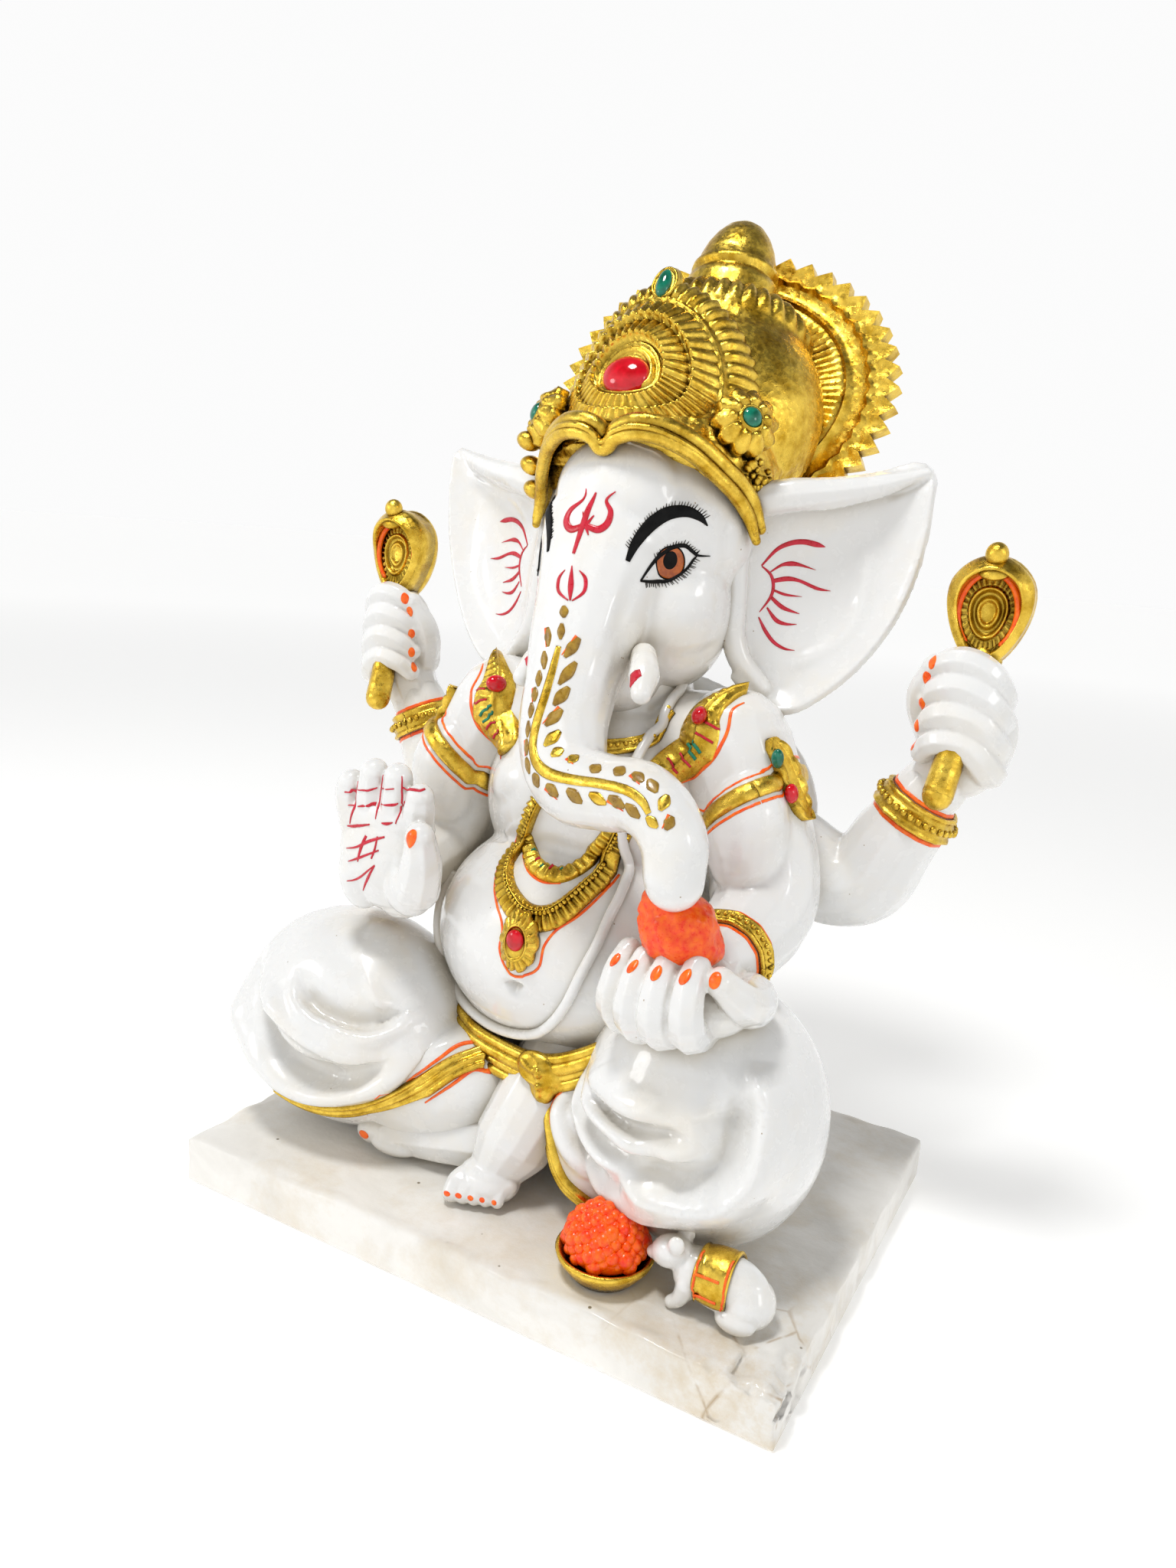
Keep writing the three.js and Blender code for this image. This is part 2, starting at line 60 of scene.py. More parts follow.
def addBall(shape, centre, radii, turn=(0, 0, 0), steps=24):
    made = bmesh.ops.create_uvsphere(shape, u_segments=steps, v_segments=max(steps // 2, 5), radius=1,
                                     matrix=place(centre, turn, radii))
    return made["verts"]


def curvePoint(points, at):
    # a smooth curve through all the points, at runs from 0 to 1
    last = len(points) - 1
    span = min(int(at * last), last - 1)
    t = at * last - span
    p0, p1, p2, p3 = (points[min(max(span + k, 0), last)] for k in (-1, 0, 1, 2))
    return tuple(0.5 * (2 * b + (c - a) * t + (2 * a - 5 * b + 4 * c - d) * t * t
                        + (3 * b - a - 3 * c + d) * t ** 3) for a, b, c, d in zip(p0, p1, p2, p3))


def route(points, spacing):
    # points spaced along the smooth curve, as vectors
    coarse = [Vector(curvePoint(points, k / (12 * len(points)))) for k in range(12 * len(points) + 1)]
    length = sum((b - a).length for a, b in zip(coarse, coarse[1:]))
    count = max(int(length / spacing), 2)
    stops = [coarse[0]]
    travelled = 0.0
    for a, b in zip(coarse, coarse[1:]):
        piece = (b - a).length
        while piece > 0 and len(stops) < count and travelled + piece >= length * len(stops) / count:
            stops.append(a.lerp(b, (length * len(stops) / count - travelled) / piece))
        travelled += piece
    stops.append(coarse[-1])
    return stops


def addRope(shape, points, radii, roundness=2, steps=6):
    # a tapering rod along a smooth curve, with a ball in each end
    curve = bpy.data.curves.new("rope", "CURVE")
    curve.dimensions = "3D"
    curve.bevel_depth = 1
    curve.bevel_resolution = roundness
    curve.resolution_u = steps
    curve.use_fill_caps = True
    spline = curve.splines.new("BEZIER")
    spline.bezier_points.add(len(points) - 1)
    for knot, point, radius in zip(spline.bezier_points, points, radii):
        knot.co = point
        knot.radius = radius
        knot.handle_left_type = knot.handle_right_type = "AUTO"
    holder = bpy.data.objects.new("rope", curve)
    mesh = bpy.data.meshes.new_from_object(holder)
    rod = bmesh.new()
    rod.from_mesh(mesh)
    bmesh.ops.remove_doubles(rod, verts=rod.verts[:], dist=0.0005)
    bmesh.ops.recalc_face_normals(rod, faces=rod.faces[:])
    joinShape(shape, rod)
    bpy.data.objects.remove(holder)
    bpy.data.curves.remove(curve)
    bpy.data.meshes.remove(mesh)
    for point, radius in ((points[0], radii[0]), (points[-1], radii[-1])):
        addBall(shape, point, (radius * 0.99,) * 3, steps=16)


def ring(centre, axis, radii, count, turn=0.0):
    # points of an oval round an axis
    facing = Vector(axis).to_track_quat("Z", "Y").to_matrix()
    middle = Vector(centre)
    angles = [2 * math.pi * k / count + turn for k in range(count)]
    return [middle + facing @ Vector((radii[0] * math.cos(a), radii[1] * math.sin(a), 0)) for a in angles]


def spinProfile(profile, steps, gap):
    # a profile of (radius, height) spun round its axis
    part = bmesh.new()
    corners = [part.verts.new((radius, 0, height)) for radius, height in profile]
    edges = [part.edges.new(pair) for pair in zip(corners, corners[1:])]
    bmesh.ops.spin(part, geom=corners + edges, cent=(0, 0, 0), axis=(0, 0, 1), angle=2 * math.pi,
                   steps=steps, use_merge=True, use_duplicate=False)
    bmesh.ops.remove_doubles(part, verts=part.verts[:], dist=gap)
    bmesh.ops.recalc_face_normals(part, faces=part.faces[:])
    return part


def addTurned(shape, profile, centre, turn=(0, 0, 0), size=(1, 1, 1), steps=48):
    part = spinProfile(profile, steps, 0.01)
    bmesh.ops.transform(part, matrix=place(centre, turn, size), verts=part.verts[:])
    joinShape(shape, part)


def joinShape(shape, part):
    mesh = bpy.data.meshes.new("joined")
    part.to_mesh(mesh)
    part.free()
    shape.from_mesh(mesh)
    bpy.data.meshes.remove(mesh)


def blendShape(shape, voxel, softening=3):
    # melts the overlapping lumps into one skin
    mesh = bpy.data.meshes.new("lumps")
    shape.to_mesh(mesh)
    shape.free()
    lump = bpy.data.objects.new("lumps", mesh)
    bpy.context.collection.objects.link(lump)
    melt = lump.modifiers.new("melt", "REMESH")
    melt.mode = "VOXEL"
    melt.voxel_size = voxel
    if softening:
        soften = lump.modifiers.new("soften", "SMOOTH")
        soften.factor = 0.5
        soften.iterations = softening
    graph = bpy.context.evaluated_depsgraph_get()
    melted = bpy.data.meshes.new_from_object(lump.evaluated_get(graph))
    bpy.data.objects.remove(lump)
    bpy.data.meshes.remove(mesh)
    skin = bmesh.new()
    skin.from_mesh(melted)
    bpy.data.meshes.remove(melted)
    skin.normal_update()
    return skin


def pressRidge(shape, points, height, width, steep=None, tips=0.25):
    # raises (or sinks, with a negative height) the skin along a curve; the far side may be steeper
    stops = route(points, 0.8)
    tree = kdtree.KDTree(len(stops))
    for k, stop in enumerate(stops):
        tree.insert(stop, k)
    tree.balance()
    steep = steep or width
    reach = 2.6 * max(width, steep)
    fade = max(int(len(stops) * tips), 1)
    moves = []
    for vertex in shape.verts:
        nearest, k, distance = tree.find(vertex.co)
        if distance > reach:
            continue
        ahead = stops[min(k + 1, len(stops) - 1)] - stops[max(k - 1, 0)]
        across = ahead.normalized().cross(vertex.normal).dot(vertex.co - nearest)
        spread = width if across < 0 else steep
        fall = min(1.0, (k + 0.5) / fade, (len(stops) - k - 0.5) / fade)
        moves.append((vertex, vertex.normal * height * fall * math.exp(-(distance / spread) ** 2)))
    for vertex, move in moves:
        vertex.co += move
    shape.normal_update()


def smoothShape(shape, times=1, factor=0.5):
    for _ in range(times):
        bmesh.ops.smooth_vert(shape, verts=shape.verts[:], factor=factor, use_axis_x=True, use_axis_y=True,
                              use_axis_z=True)
    shape.normal_update()


def keepSkin(name, shape):
    skins[name] = BVHTree.FromBMesh(shape)


def nearestOn(skin, point):
    trees = skins[skin] if isinstance(skins[skin], list) else [skins[skin]]
    found = [tree.find_nearest(point) for tree in trees]
    spot, normal, _, _ = min((hit for hit in found if hit[0]), key=lambda hit: hit[3])
    return spot, normal


def evened(row, reach):
    spans = [row[max(k - reach, 0):k + reach + 1] for k in range(len(row))]
    return [sum(span, Vector((0, 0, 0))) / len(span) for span in spans]


def layBand(shape, skin, points, widths, height, across=6, spacing=0.8, depth=0.6, shift=0.0, ends=0.0,
            sag=None):
    # a band laid on a skin: widths follow the route, height(u, v) gives its rise, v runs from -1 to 1;
    # a band with a sag bends evenly across instead of following the skin
    along = route([(*point, width) for point, width in zip(points, widths)], spacing)
    along = [Vector(stop) for stop in along]
    lengthSteps = len(along) - 1
    centres, sides, facings = [], [], []
    for k, stop in enumerate(along):
        spot, normal = nearestOn(skin, stop.xyz)
        ahead = along[min(k + 1, lengthSteps)].xyz - along[max(k - 1, 0)].xyz
        sides.append(ahead.cross(normal).normalized())
        centres.append(spot)
        facings.append(normal)
    if sag is not None:
        centres, sides, facings = (evened(row, 9) for row in (centres, sides, facings))
    strip = bmesh.new()
    inward = {}
    bmesh.ops.create_grid(strip, x_segments=lengthSteps, y_segments=across, size=1)
    for vertex in strip.verts:
        u = (vertex.co.x + 1) / 2
        v = vertex.co.y
        k = round(u * lengthSteps)
        taper = 1.0
        if ends:
            fromEnd = min(u, 1 - u) * lengthSteps * spacing
            taper = math.sqrt(min(1.0, max(fromEnd / ends, 0.02)))
        half = along[k].w / 2 * taper
        if sag is None:
            spot, normal = nearestOn(skin, centres[k] + sides[k] * (v * half + shift))
        else:
            normal = facings[k].normalized()
            spot = centres[k] + sides[k] * v * half - normal * sag * v * v * half
        vertex.co = spot + normal * height(u, v)
        inward[vertex.co.to_tuple(4)] = normal
    sinkBack(strip, inward, depth)
    joinShape(shape, strip)


def sinkBack(strip, inward, depth):
    # closes an open strip with a back that lies deeper in the skin
    raised = bmesh.ops.extrude_face_region(strip, geom=strip.faces[:], use_keep_orig=True)["geom"]
    for vertex in raised:
        if isinstance(vertex, bmesh.types.BMVert):
            vertex.co -= inward[vertex.co.to_tuple(4)] * depth
    bmesh.ops.recalc_face_normals(strip, faces=strip.faces[:])


def makePiece(name, shape, finish, nodes=(), sharp=None):
    bmesh.ops.scale(shape, vec=(metresPerMillimetre,) * 3, verts=shape.verts[:])
    mesh = bpy.data.meshes.new(name)
    shape.to_mesh(mesh)
    shape.free()
    mesh.polygons.foreach_set("use_smooth", [True] * len(mesh.polygons))
    if sharp:
        mesh.set_sharp_from_angle(angle=math.radians(sharp))
    piece = bpy.data.objects.new(name, mesh)
    bpy.context.collection.objects.link(piece)
    mesh.materials.append(finish)
    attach(piece, "root")
    if nodes:
        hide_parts(*nodes)
    return piece


# Finishes

def startFinish(name, colour, roughness, metallic=0.0, coat=0.0):
    finish = bpy.data.materials.new(name)
    finish.use_nodes = True
    nodes = finish.node_tree.nodes
    nodes.clear()
    output = nodes.new("ShaderNodeOutputMaterial")
    shader = nodes.new("ShaderNodeBsdfPrincipled")
    finish.node_tree.links.new(output.inputs["Surface"], shader.outputs["BSDF"])
    shader.inputs["Base Color"].default_value = (*colour, 1)
    shader.inputs["Roughness"].default_value = roughness
    shader.inputs["Metallic"].default_value = metallic
    shader.inputs["Coat Weight"].default_value = coat
    shader.inputs["Coat Roughness"].default_value = 0.05
    shader.inputs["Specular IOR Level"].default_value = 0.4
    return finish, shader


def addNode(finish, kind, inputs=None, **settings):
    node = finish.node_tree.nodes.new("ShaderNode" + kind)
    for key, value in settings.items():
        setattr(node, key, value)
    for key, value in (inputs or {}).items():
        if isinstance(value, bpy.types.NodeSocket):
            finish.node_tree.links.new(node.inputs[key], value)
        else:
            node.inputs[key].default_value = value
    return node


def grain(finish, size, detail=3.0, roughness=0.6, distortion=0.0):
    # cloudy noise whose lumps are about that many millimetres
    where = addNode(finish, "TexCoord").outputs["Object"]
    cloud = addNode(finish, "TexNoise", {"Vector": where, "Scale": 1000 / size, "Detail": detail,
                                         "Roughness": roughness, "Distortion": distortion})
    return cloud.outputs["Fac"]


def cells(finish, size, feature="F1"):
    where = addNode(finish, "TexCoord").outputs["Object"]
    return addNode(finish, "TexVoronoi", {"Vector": where, "Scale": 1000 / size},
                   feature=feature).outputs["Distance"]


def fit(finish, value, low, high, toLow=0.0, toHigh=1.0):
    spread = addNode(finish, "MapRange", {"Value": value, "From Min": low, "From Max": high,
                                          "To Min": toLow, "To Max": toHigh})
    return spread.outputs["Result"]


def tint(finish, factor, first, second):
    blend = finish.node_tree.nodes.new("ShaderNodeMix")
    blend.data_type = "RGBA"
    for key, value in ((0, factor), (6, first), (7, second)):
        if isinstance(value, bpy.types.NodeSocket):
            finish.node_tree.links.new(blend.inputs[key], value)
        else:
            blend.inputs[key].default_value = (*value, 1) if key else value
    return blend.outputs[2]


def hollows(finish, reach):
    # 1 in the open, towards 0 in grooves and corners; the finishes paint shade into the colour with it
    return addNode(finish, "AmbientOcclusion", {"Distance": reach * metresPerMillimetre},
                   samples=6).outputs["AO"]


def roughen(finish, shader, height, strength, distance):
    bump = addNode(finish, "Bump", {"Height": height, "Strength": strength,
                                    "Distance": distance * metresPerMillimetre})
    finish.node_tree.links.new(shader.inputs["Normal"], bump.outputs["Normal"])


def plug(finish, shader, name, value):
    finish.node_tree.links.new(shader.inputs[name], value)


resinLook = {
    "white": (0.77, 0.77, 0.76),
    "cream": (0.78, 0.74, 0.66),
    # grey-beige painted shade for grooves, folds and corners
    "shadeColour": (0.50, 0.45, 0.36),
    "roughness": 0.22,
    "lacquer": 0.7,
}


def makeWhiteResin():
    look = resinLook
    finish, shader = startFinish("lacqueredResin", look["white"], look["roughness"], coat=look["lacquer"])
    patches = fit(finish, grain(finish, 34, 4), 0.5, 0.78)
    body = tint(finish, patches, look["white"], look["cream"])
    # painted shade: the white turns grey-beige in grooves, folds and corners, where shade falls
    paintedCreaseShade = fit(finish, hollows(finish, 9), 0.85, 0.3, 0, 0.75)
    body = tint(finish, paintedCreaseShade, body, look["shadeColour"])
    specks = fit(finish, cells(finish, 9), 0.035, 0.02)
    body = tint(finish, specks, body, (0.35, 0.27, 0.18))
    plug(finish, shader, "Base Color", body)
    plug(finish, shader, "Roughness", fit(finish, grain(finish, 6), 0.3, 0.7, 0.14, 0.34))
    roughen(finish, shader, grain(finish, 5, 2), 0.12, 0.5)
    shader.inputs["Subsurface Weight"].default_value = 0.12
    shader.inputs["Subsurface Radius"].default_value = (1, 0.85, 0.7)
    shader.inputs["Subsurface Scale"].default_value = 0.002
    return finish


giltLook = {
    "bright": (0.90, 0.62, 0.09),
    "deep": (0.52, 0.30, 0.02),
    # near-black painted shade for the hollows of the gilt
    "recessShade": (0.09, 0.05, 0.008),
}


def makeGilt(name, crinkle=0.5, recessShade=0.8):
    look = giltLook
    finish, shader = startFinish(name, look["bright"], 0.3, metallic=1.0)
    leaf = tint(finish, fit(finish, grain(finish, 7, 5, 0.65), 0.34, 0.6), look["deep"], look["bright"])
    # painted shade: the gilt turns near-black in its hollows and grooves, where shade falls; the last
    # argument of makeGilt sets how strongly
    paintedHollowShade = fit(finish, hollows(finish, 2.6), 0.92, 0.35, 0, recessShade)
    leaf = tint(finish, paintedHollowShade, leaf, look["recessShade"])
    plug(finish, shader, "Base Color", leaf)
    plug(finish, shader, "Roughness", fit(finish, grain(finish, 1.6, 3), 0.3, 0.7, 0.16, 0.42))
    wrinkles = addNode(finish, "Math", {0: grain(finish, 1.7, 6, 0.7, 0.5), 1: cells(finish, 2.4)},
                       operation="MULTIPLY_ADD")
    wrinkles.inputs[2].default_value = 0.2
    roughen(finish, shader, wrinkles.outputs[0], crinkle, 1.1)
    return finish


def makePaint(name, colour, second, roughness=0.3, coat=0.2):
    finish, shader = startFinish(name, colour, roughness, coat=coat)
    mixed = tint(finish, fit(finish, grain(finish, 2.4, 4), 0.35, 0.7), colour, second)
    plug(finish, shader, "Base Color", mixed)
    sheen = fit(finish, grain(finish, 1.2), 0.3, 0.7, roughness - 0.08, roughness + 0.15)
    plug(finish, shader, "Roughness", sheen)
    roughen(finish, shader, grain(finish, 0.9, 2), 0.15, 0.3)
    return finish


def makeStone(name, colour, second):
    finish, shader = startFinish(name, colour, 0.1, coat=0.4)
    inner = tint(finish, fit(finish, grain(finish, 3.4, 2), 0.35, 0.65), colour, second)
    plug(finish, shader, "Base Color", inner)
    roughen(finish, shader, cells(finish, 4.5), 0.12, 0.5)
    return finish


marbleLook = {
    "white": (0.84, 0.82, 0.78),
    "cloud": (0.69, 0.665, 0.615),
    "stain": (0.62, 0.50, 0.32),
    "crack": (0.42, 0.30, 0.17),
}


def makeMarble():
    look = marbleLook
    finish, shader = startFinish("stainedMarble", look["white"], 0.35, coat=0.25)
    body = tint(finish, fit(finish, grain(finish, 46, 5, 0.6, 0.8), 0.4, 0.72), look["white"], look["cloud"])
    where = addNode(finish, "TexCoord").outputs["Object"]
    corner = addNode(finish, "VectorMath", {0: where, 1: (0.105, -0.079, 0.008)}, operation="DISTANCE")
    nearCorner = fit(finish, corner.outputs["Value"], 0.06, 0.01, 0, 1)
    stain = addNode(finish, "Math", {0: fit(finish, grain(finish, 24, 6, 0.7), 0.46, 0.7),
                                     1: fit(finish, nearCorner, 0, 1, 0.4, 1.0)}, operation="MULTIPLY")
    body = tint(finish, stain.outputs[0], body, look["stain"])
    line = fit(finish, cells(finish, 20, "DISTANCE_TO_EDGE"), 0.03, 0.0, 0, 1)
    broken = addNode(finish, "Math", {0: line, 1: fit(finish, grain(finish, 11, 3), 0.46, 0.6)},
                     operation="MULTIPLY")
    crack = addNode(finish, "Math", {0: broken.outputs[0], 1: nearCorner}, operation="MULTIPLY")
    body = tint(finish, crack.outputs[0], body, look["crack"])
    body = tint(finish, fit(finish, cells(finish, 13), 0.05, 0.03), body, (0.2, 0.16, 0.1))
    plug(finish, shader, "Base Color", body)
    plug(finish, shader, "Roughness", fit(finish, grain(finish, 7, 3), 0.3, 0.7, 0.28, 0.6))
    roughen(finish, shader, grain(finish, 4, 5), 0.25, 0.8)
    return finish


marble = makeMarble()
whiteResin = makeWhiteResin()
leafGilt = makeGilt("leafGilt", 0.28, 0.95)
smoothGilt = makeGilt("smoothGilt", 0.16, 0.8)
orangeInk = makePaint("orangeInk", (0.90, 0.07, 0.0), (1.0, 0.20, 0.004))
brownGilt = makePaint("brownGilt", (0.22, 0.115, 0.008), (0.42, 0.25, 0.02), 0.3)
redPaint = makePaint("redPaint", (0.48, 0.002, 0.012), (0.60, 0.01, 0.04))
orangePaint = makePaint("orangePaint", (0.88, 0.03, 0.0), (1.0, 0.17, 0.0))
greenPaint = makePaint("greenPaint", (0.005, 0.16, 0.09), (0.01, 0.24, 0.13))
blackPaint = makePaint("blackPaint", (0.003, 0.003, 0.003), (0.008, 0.008, 0.008), 0.45, 0.0)
blackPaint.node_tree.nodes["Principled BSDF"].inputs["Specular IOR Level"].default_value = 0.1    # dull
irisPaint = makePaint("irisPaint", (0.48, 0.11, 0.008), (0.24, 0.04, 0.003), 0.15, 0.4)
redStone = makeStone("redStone", (0.46, 0.0, 0.005), (0.66, 0.002, 0.015))
greenStone = makeStone("greenStone", (0.001, 0.09, 0.05), (0.004, 0.20, 0.12))
print("finishes made")


# The slab

slabSize = {
    "halfLength": 105,
    "halfDepth": 79,
    "thickness": 16,
    "chipReach": 32,
    "chipDrop": 5.0,
    "chipBite": 4.0,
}


def makeSlab():
    size = slabSize
    shape = bmesh.new()
    bmesh.ops.create_cube(shape, size=2, matrix=place((0, 0, size["thickness"] / 2), size=(
        size["halfLength"], size["halfDepth"], size["thickness"] / 2)))
    shape = blendShape(shape, 1.25, 4)
    corner = Vector((size["halfLength"], -size["halfDepth"], 10))
    for vertex in shape.verts:
        spot = vertex.co
        border = max(abs(spot.x) - size["halfLength"], abs(spot.y) - size["halfDepth"]) + 3.5
        if spot.z < 2:
            continue
        ripple = noise.noise(spot * 0.05) * 0.7
        if border > 0:
            vertex.co.x -= math.copysign(max(0, noise.noise(spot * 0.11)) * 1.6, spot.x)
            vertex.co.z += noise.noise(spot * 0.09) * 0.8
        chip = 1 - (spot - corner).length / size["chipReach"]
        if chip > 0:
            flake = noise.cell(spot * 0.12) * 0.5 + noise.noise(spot * 0.2)
            vertex.co.z -= max(0, flake) * chip * size["chipDrop"]
            vertex.co.x -= max(0, flake) * chip * size["chipBite"]
        if spot.z > 12:
            vertex.co.z += min(ripple, 0.25) - 0.25
    shape.normal_update()
    makePiece("marbleSlab", shape, marble, ["base_slab"])


makeSlab()
print("slab made")


# The white body

def castPiece(name, shape, node, skin=None):
    # a piece of the white casting, kept as a skin for the gilt and the paint
    keepSkin(skin or name, shape)
    makePiece(name, shape, whiteResin, [node])


bodyLook = {"voxel": 0.85, "handVoxel": 0.5, "earVoxel": 0.7}


torsoLook = {
    "belly": (50, 43, 39),
    "chest": (43, 33, 38),
    "seat": (50, 42, 36),
    "backDrape": (64, 10, 44),
    "navelDepth": 3.4,
}


def makeTorso():
    look = torsoLook
    shape = bmesh.new()
    addBall(shape, (0, -6, 94), look["belly"], steps=48)
    addBall(shape, (0, 4, 138), look["chest"], steps=40)
    for side in (-1, 1):
        addBall(shape, (side * 30, 6, 160), (20, 19, 19))
        addBall(shape, (side * 17, -17, 143), (15, 8.6, 11))
    addBall(shape, (0, 8, 176), (24, 22, 22))
    addBall(shape, (0, 16, 48), look["seat"], steps=40)
    addBall(shape, (0, 32, 138), look["backDrape"], steps=40)
    shape = blendShape(shape, bodyLook["voxel"] + 0.2, 6)
    pressRidge(shape, [(-34, -24, 132), (-18, -33, 126), (0, -30, 128), (18, -33, 126), (34, -24, 132)],
               -1.6, 3.5)
    pressRidge(shape, [(-30, -20, 118), (-24, -27, 128), (-15, -33, 135), (-9, -32, 147)], 1.6, 1.3, 5)
    pressRidge(shape, [(-44, -18, 74), (-24, -34, 66), (0, -40, 64), (24, -36, 66), (42, -24, 76)], 1.4, 3)
    pressRidge(shape, [(-3, -48, 88), (0, -48.5, 88.5), (3, -48, 88)], -look["navelDepth"], 2.2, 2.6, 0.4)
    pressRidge(shape, [(-4, -48, 90.3), (0, -48.5, 91), (4, -48, 90.3)], 1.3, 1.6, tips=0.4)
    pressRidge(shape, [(-1, 43, 168), (0, 44, 120), (0, 42, 90)], -2.2, 6, tips=0.3)
    castPiece("pottedBelly", shape, "torso", "torso")


rightLegLook = {
    "knee": (44, 33, 38),
    "rollHeight": 5.2,
    "valleyDepth": 7.6,
    "foldHeight": 4.2,
}


def makeRightLeg():
    look = rightLegLook
    shape = bmesh.new()
    addBall(shape, (-71, -33, 54), look["knee"], steps=48)
    addBall(shape, (-40, 0, 50), (36, 34, 34), steps=40)
    addBall(shape, (-38, -34, 40), (34, 19, 22), (0, -22, 0), steps=40)
    shape = blendShape(shape, bodyLook["voxel"], 8)
    outerRoll = [(-108, -40, 66), (-101, -58, 50), (-86, -63, 42), (-70, -62.5, 38.5), (-54, -62, 41),
                 (-42, -58, 46.5),
                 (-30, -50, 58), (-22, -40, 67)]
    valley = [(-104, -48, 74), (-88, -62, 56), (-74, -65, 47), (-60, -64, 46), (-48, -60, 49), (-36, -52, 58)]
    middleFold = [(-95, -57, 69), (-76, -66, 62), (-64, -66, 58), (-51, -63, 55.5), (-41, -59, 55),
                  (-31, -50, 62)]
    upperFold = [(-78, -61, 74), (-71, -64, 66), (-61, -64, 62), (-46, -60, 61), (-33, -50, 68)]
    pressRidge(shape, outerRoll, look["rollHeight"], 4.2, 4.6, 0.15)
    pressRidge(shape, valley, -look["valleyDepth"], 4.2, 3.8, 0.34)
    pressRidge(shape, middleFold, look["foldHeight"], 5.0, 3.0, 0.22)
    pressRidge(shape, [(x, y, z + 4.5) for x, y, z in upperFold], -4.4, 6.0, 2.2, 0.25)
    pressRidge(shape, upperFold, 3.0, 2.6, 2.0, 0.25)
    pressRidge(shape, [(-58, -50, 82), (-48, -54, 73), (-38, -52, 70), (-28, -45, 74)], 2.0, 2.6, 1.6, 0.3)
    smoothShape(shape, 1)
    castPiece("drapedRightLeg", shape, "right_leg", "rightLeg")


leftLegLook = {
    "knee": (38, 35, 42),
    "bandHeight": 5.2,
    "hollowDepth": 6.0,
}


def makeLeftLeg():
    look = leftLegLook
    shape = bmesh.new()
    addBall(shape, (57, -27, 58), look["knee"], steps=48)
    addBall(shape, (38, 4, 50), (34, 34, 34), steps=40)
    addBall(shape, (28, -30, 42), (18, 20, 26), steps=32)
    shape = blendShape(shape, bodyLook["voxel"], 8)
    kneeBand = [(76, -46, 86), (78.4, -49, 80.2), (81.1, -50, 75), (82, -52, 68), (81.7, -53.6, 60),
                (79.6, -55, 54.3),
                (74.9, -56.8, 49), (68.7, -58.9, 46.9), (60, -60.5, 46), (46.4, -59.4, 46)]
    kneeHollow = [(74, -52, 79), (77, -52, 74.5), (78, -54, 68.5), (77.5, -56, 60.5), (75, -57, 56),
                  (71, -59, 53),
                  (66, -60.5, 51), (58, -61.5, 51), (48, -60.5, 52.5)]
    pressRidge(shape, kneeBand, look["bandHeight"], 9.0, 1.5, 0.12)
    pressRidge(shape, kneeHollow, -look["hollowDepth"], 2.0, 8.0, 0.16)
    foldRuns = (
        ([(19.6, -44, 66), (17.8, -44.5, 52), (26.7, -50, 42.3), (41, -53.4, 37.5), (56.6, -58.6, 40.5),
          (71, -57, 43)],
         3.4, 3.6, 4.4),
        ([(22, -44.5, 64), (21.6, -46, 52), (30.5, -51.5, 46.5), (42, -56.5, 43.8)], -2.4, 1.8, 1.8),
        ([(23.6, -44.3, 68), (25.3, -47, 55.4), (35.6, -54.5, 50), (48.6, -60, 48.6)], 2.8, 2.2, 2.6),
        ([(27, -48, 66), (30, -51.5, 57.5), (39, -57.5, 55), (50, -61, 54.6), (62.8, -61.3, 54.4),
          (70, -59, 56)],
         -3.4, 2.6, 3.0),
        ([(27.5, -47, 72), (31.1, -52.2, 63.6), (42, -59.7, 60.8), (53.7, -61.7, 58.6), (65, -61, 60),
          (71, -59, 62)],
         3.4, 2.2, 3.2),
        ([(33, -53, 67), (37, -56, 65), (46, -60, 63.8), (56, -61.4, 64), (67, -60, 66.4)], -3.8, 2.6, 2.2),
        ([(29, -48, 74), (31.5, -51.5, 69.5), (38, -56, 67.6), (47, -59.6, 68), (58, -60.4, 70.4)], 2.8,
         6.0, 2.2),
    )
    for path, height, width, steep in foldRuns:
        pressRidge(shape, path, height, width, steep, 0.22)
    smoothShape(shape, 1)
    castPiece("drapedLeftLeg", shape, "left_leg", "leftLeg")


footLook = {
    "shinRadii": [14.5, 14, 13, 9],
    "calfRadii": [12, 9.5, 6.6],
    "toes": 5,
}


def makeFeet():
    look = footLook
    shape = bmesh.new()
    addRope(shape, [(8, -24, 62), (4.5, -35, 47), (0, -42, 33), (-3, -46, 25)], look["shinRadii"], 6, 12)
    addBall(shape, (-3.5, -49, 22.5), (10.5, 9, 7))
    for k in range(look["toes"]):
        addRope(shape, [(-8 + 3 * k, -50, 23.5), (-10.6 + 3.5 * k, -55.5 + 0.7 * k, 22.4),
                        (-11 + 3.6 * k, -58.5 + k, 19.8)],
                [4.2 - 0.2 * k, 3.7 - 0.25 * k, 3.2 - 0.25 * k])
    shape = blendShape(shape, bodyLook["handVoxel"], 3)
    castPiece("hangingFoot", shape, "front_foot")
    shape = bmesh.new()
    addRope(shape, [(-6, -34, 29), (-28, -41, 26), (-46, -45, 22.6)], look["calfRadii"])
    addBall(shape, (-51, -46.5, 22.8), (7, 5.2, 5.2), (0, -12, 8))
    addBall(shape, (-42, -48, 20.4), (9, 4, 3.6), (0, 0, 8))
    shape = blendShape(shape, bodyLook["handVoxel"], 3)
    castPiece("tuckedFoot", shape, "tucked_foot")


frontArm = {"route": [(42, 4, 163), (52, 2, 142), (60, -3, 119), (60, -20, 110), (59, -36, 107)],
            "radii": [19, 18, 17, 14, 10.5]}
rearArm = {"route": [(36, 22, 150), (58, 28, 126), (78, 31, 121), (90, 30, 138), (99, 29, 157)],
           "radii": [14, 16, 15.5, 13.5, 10]}


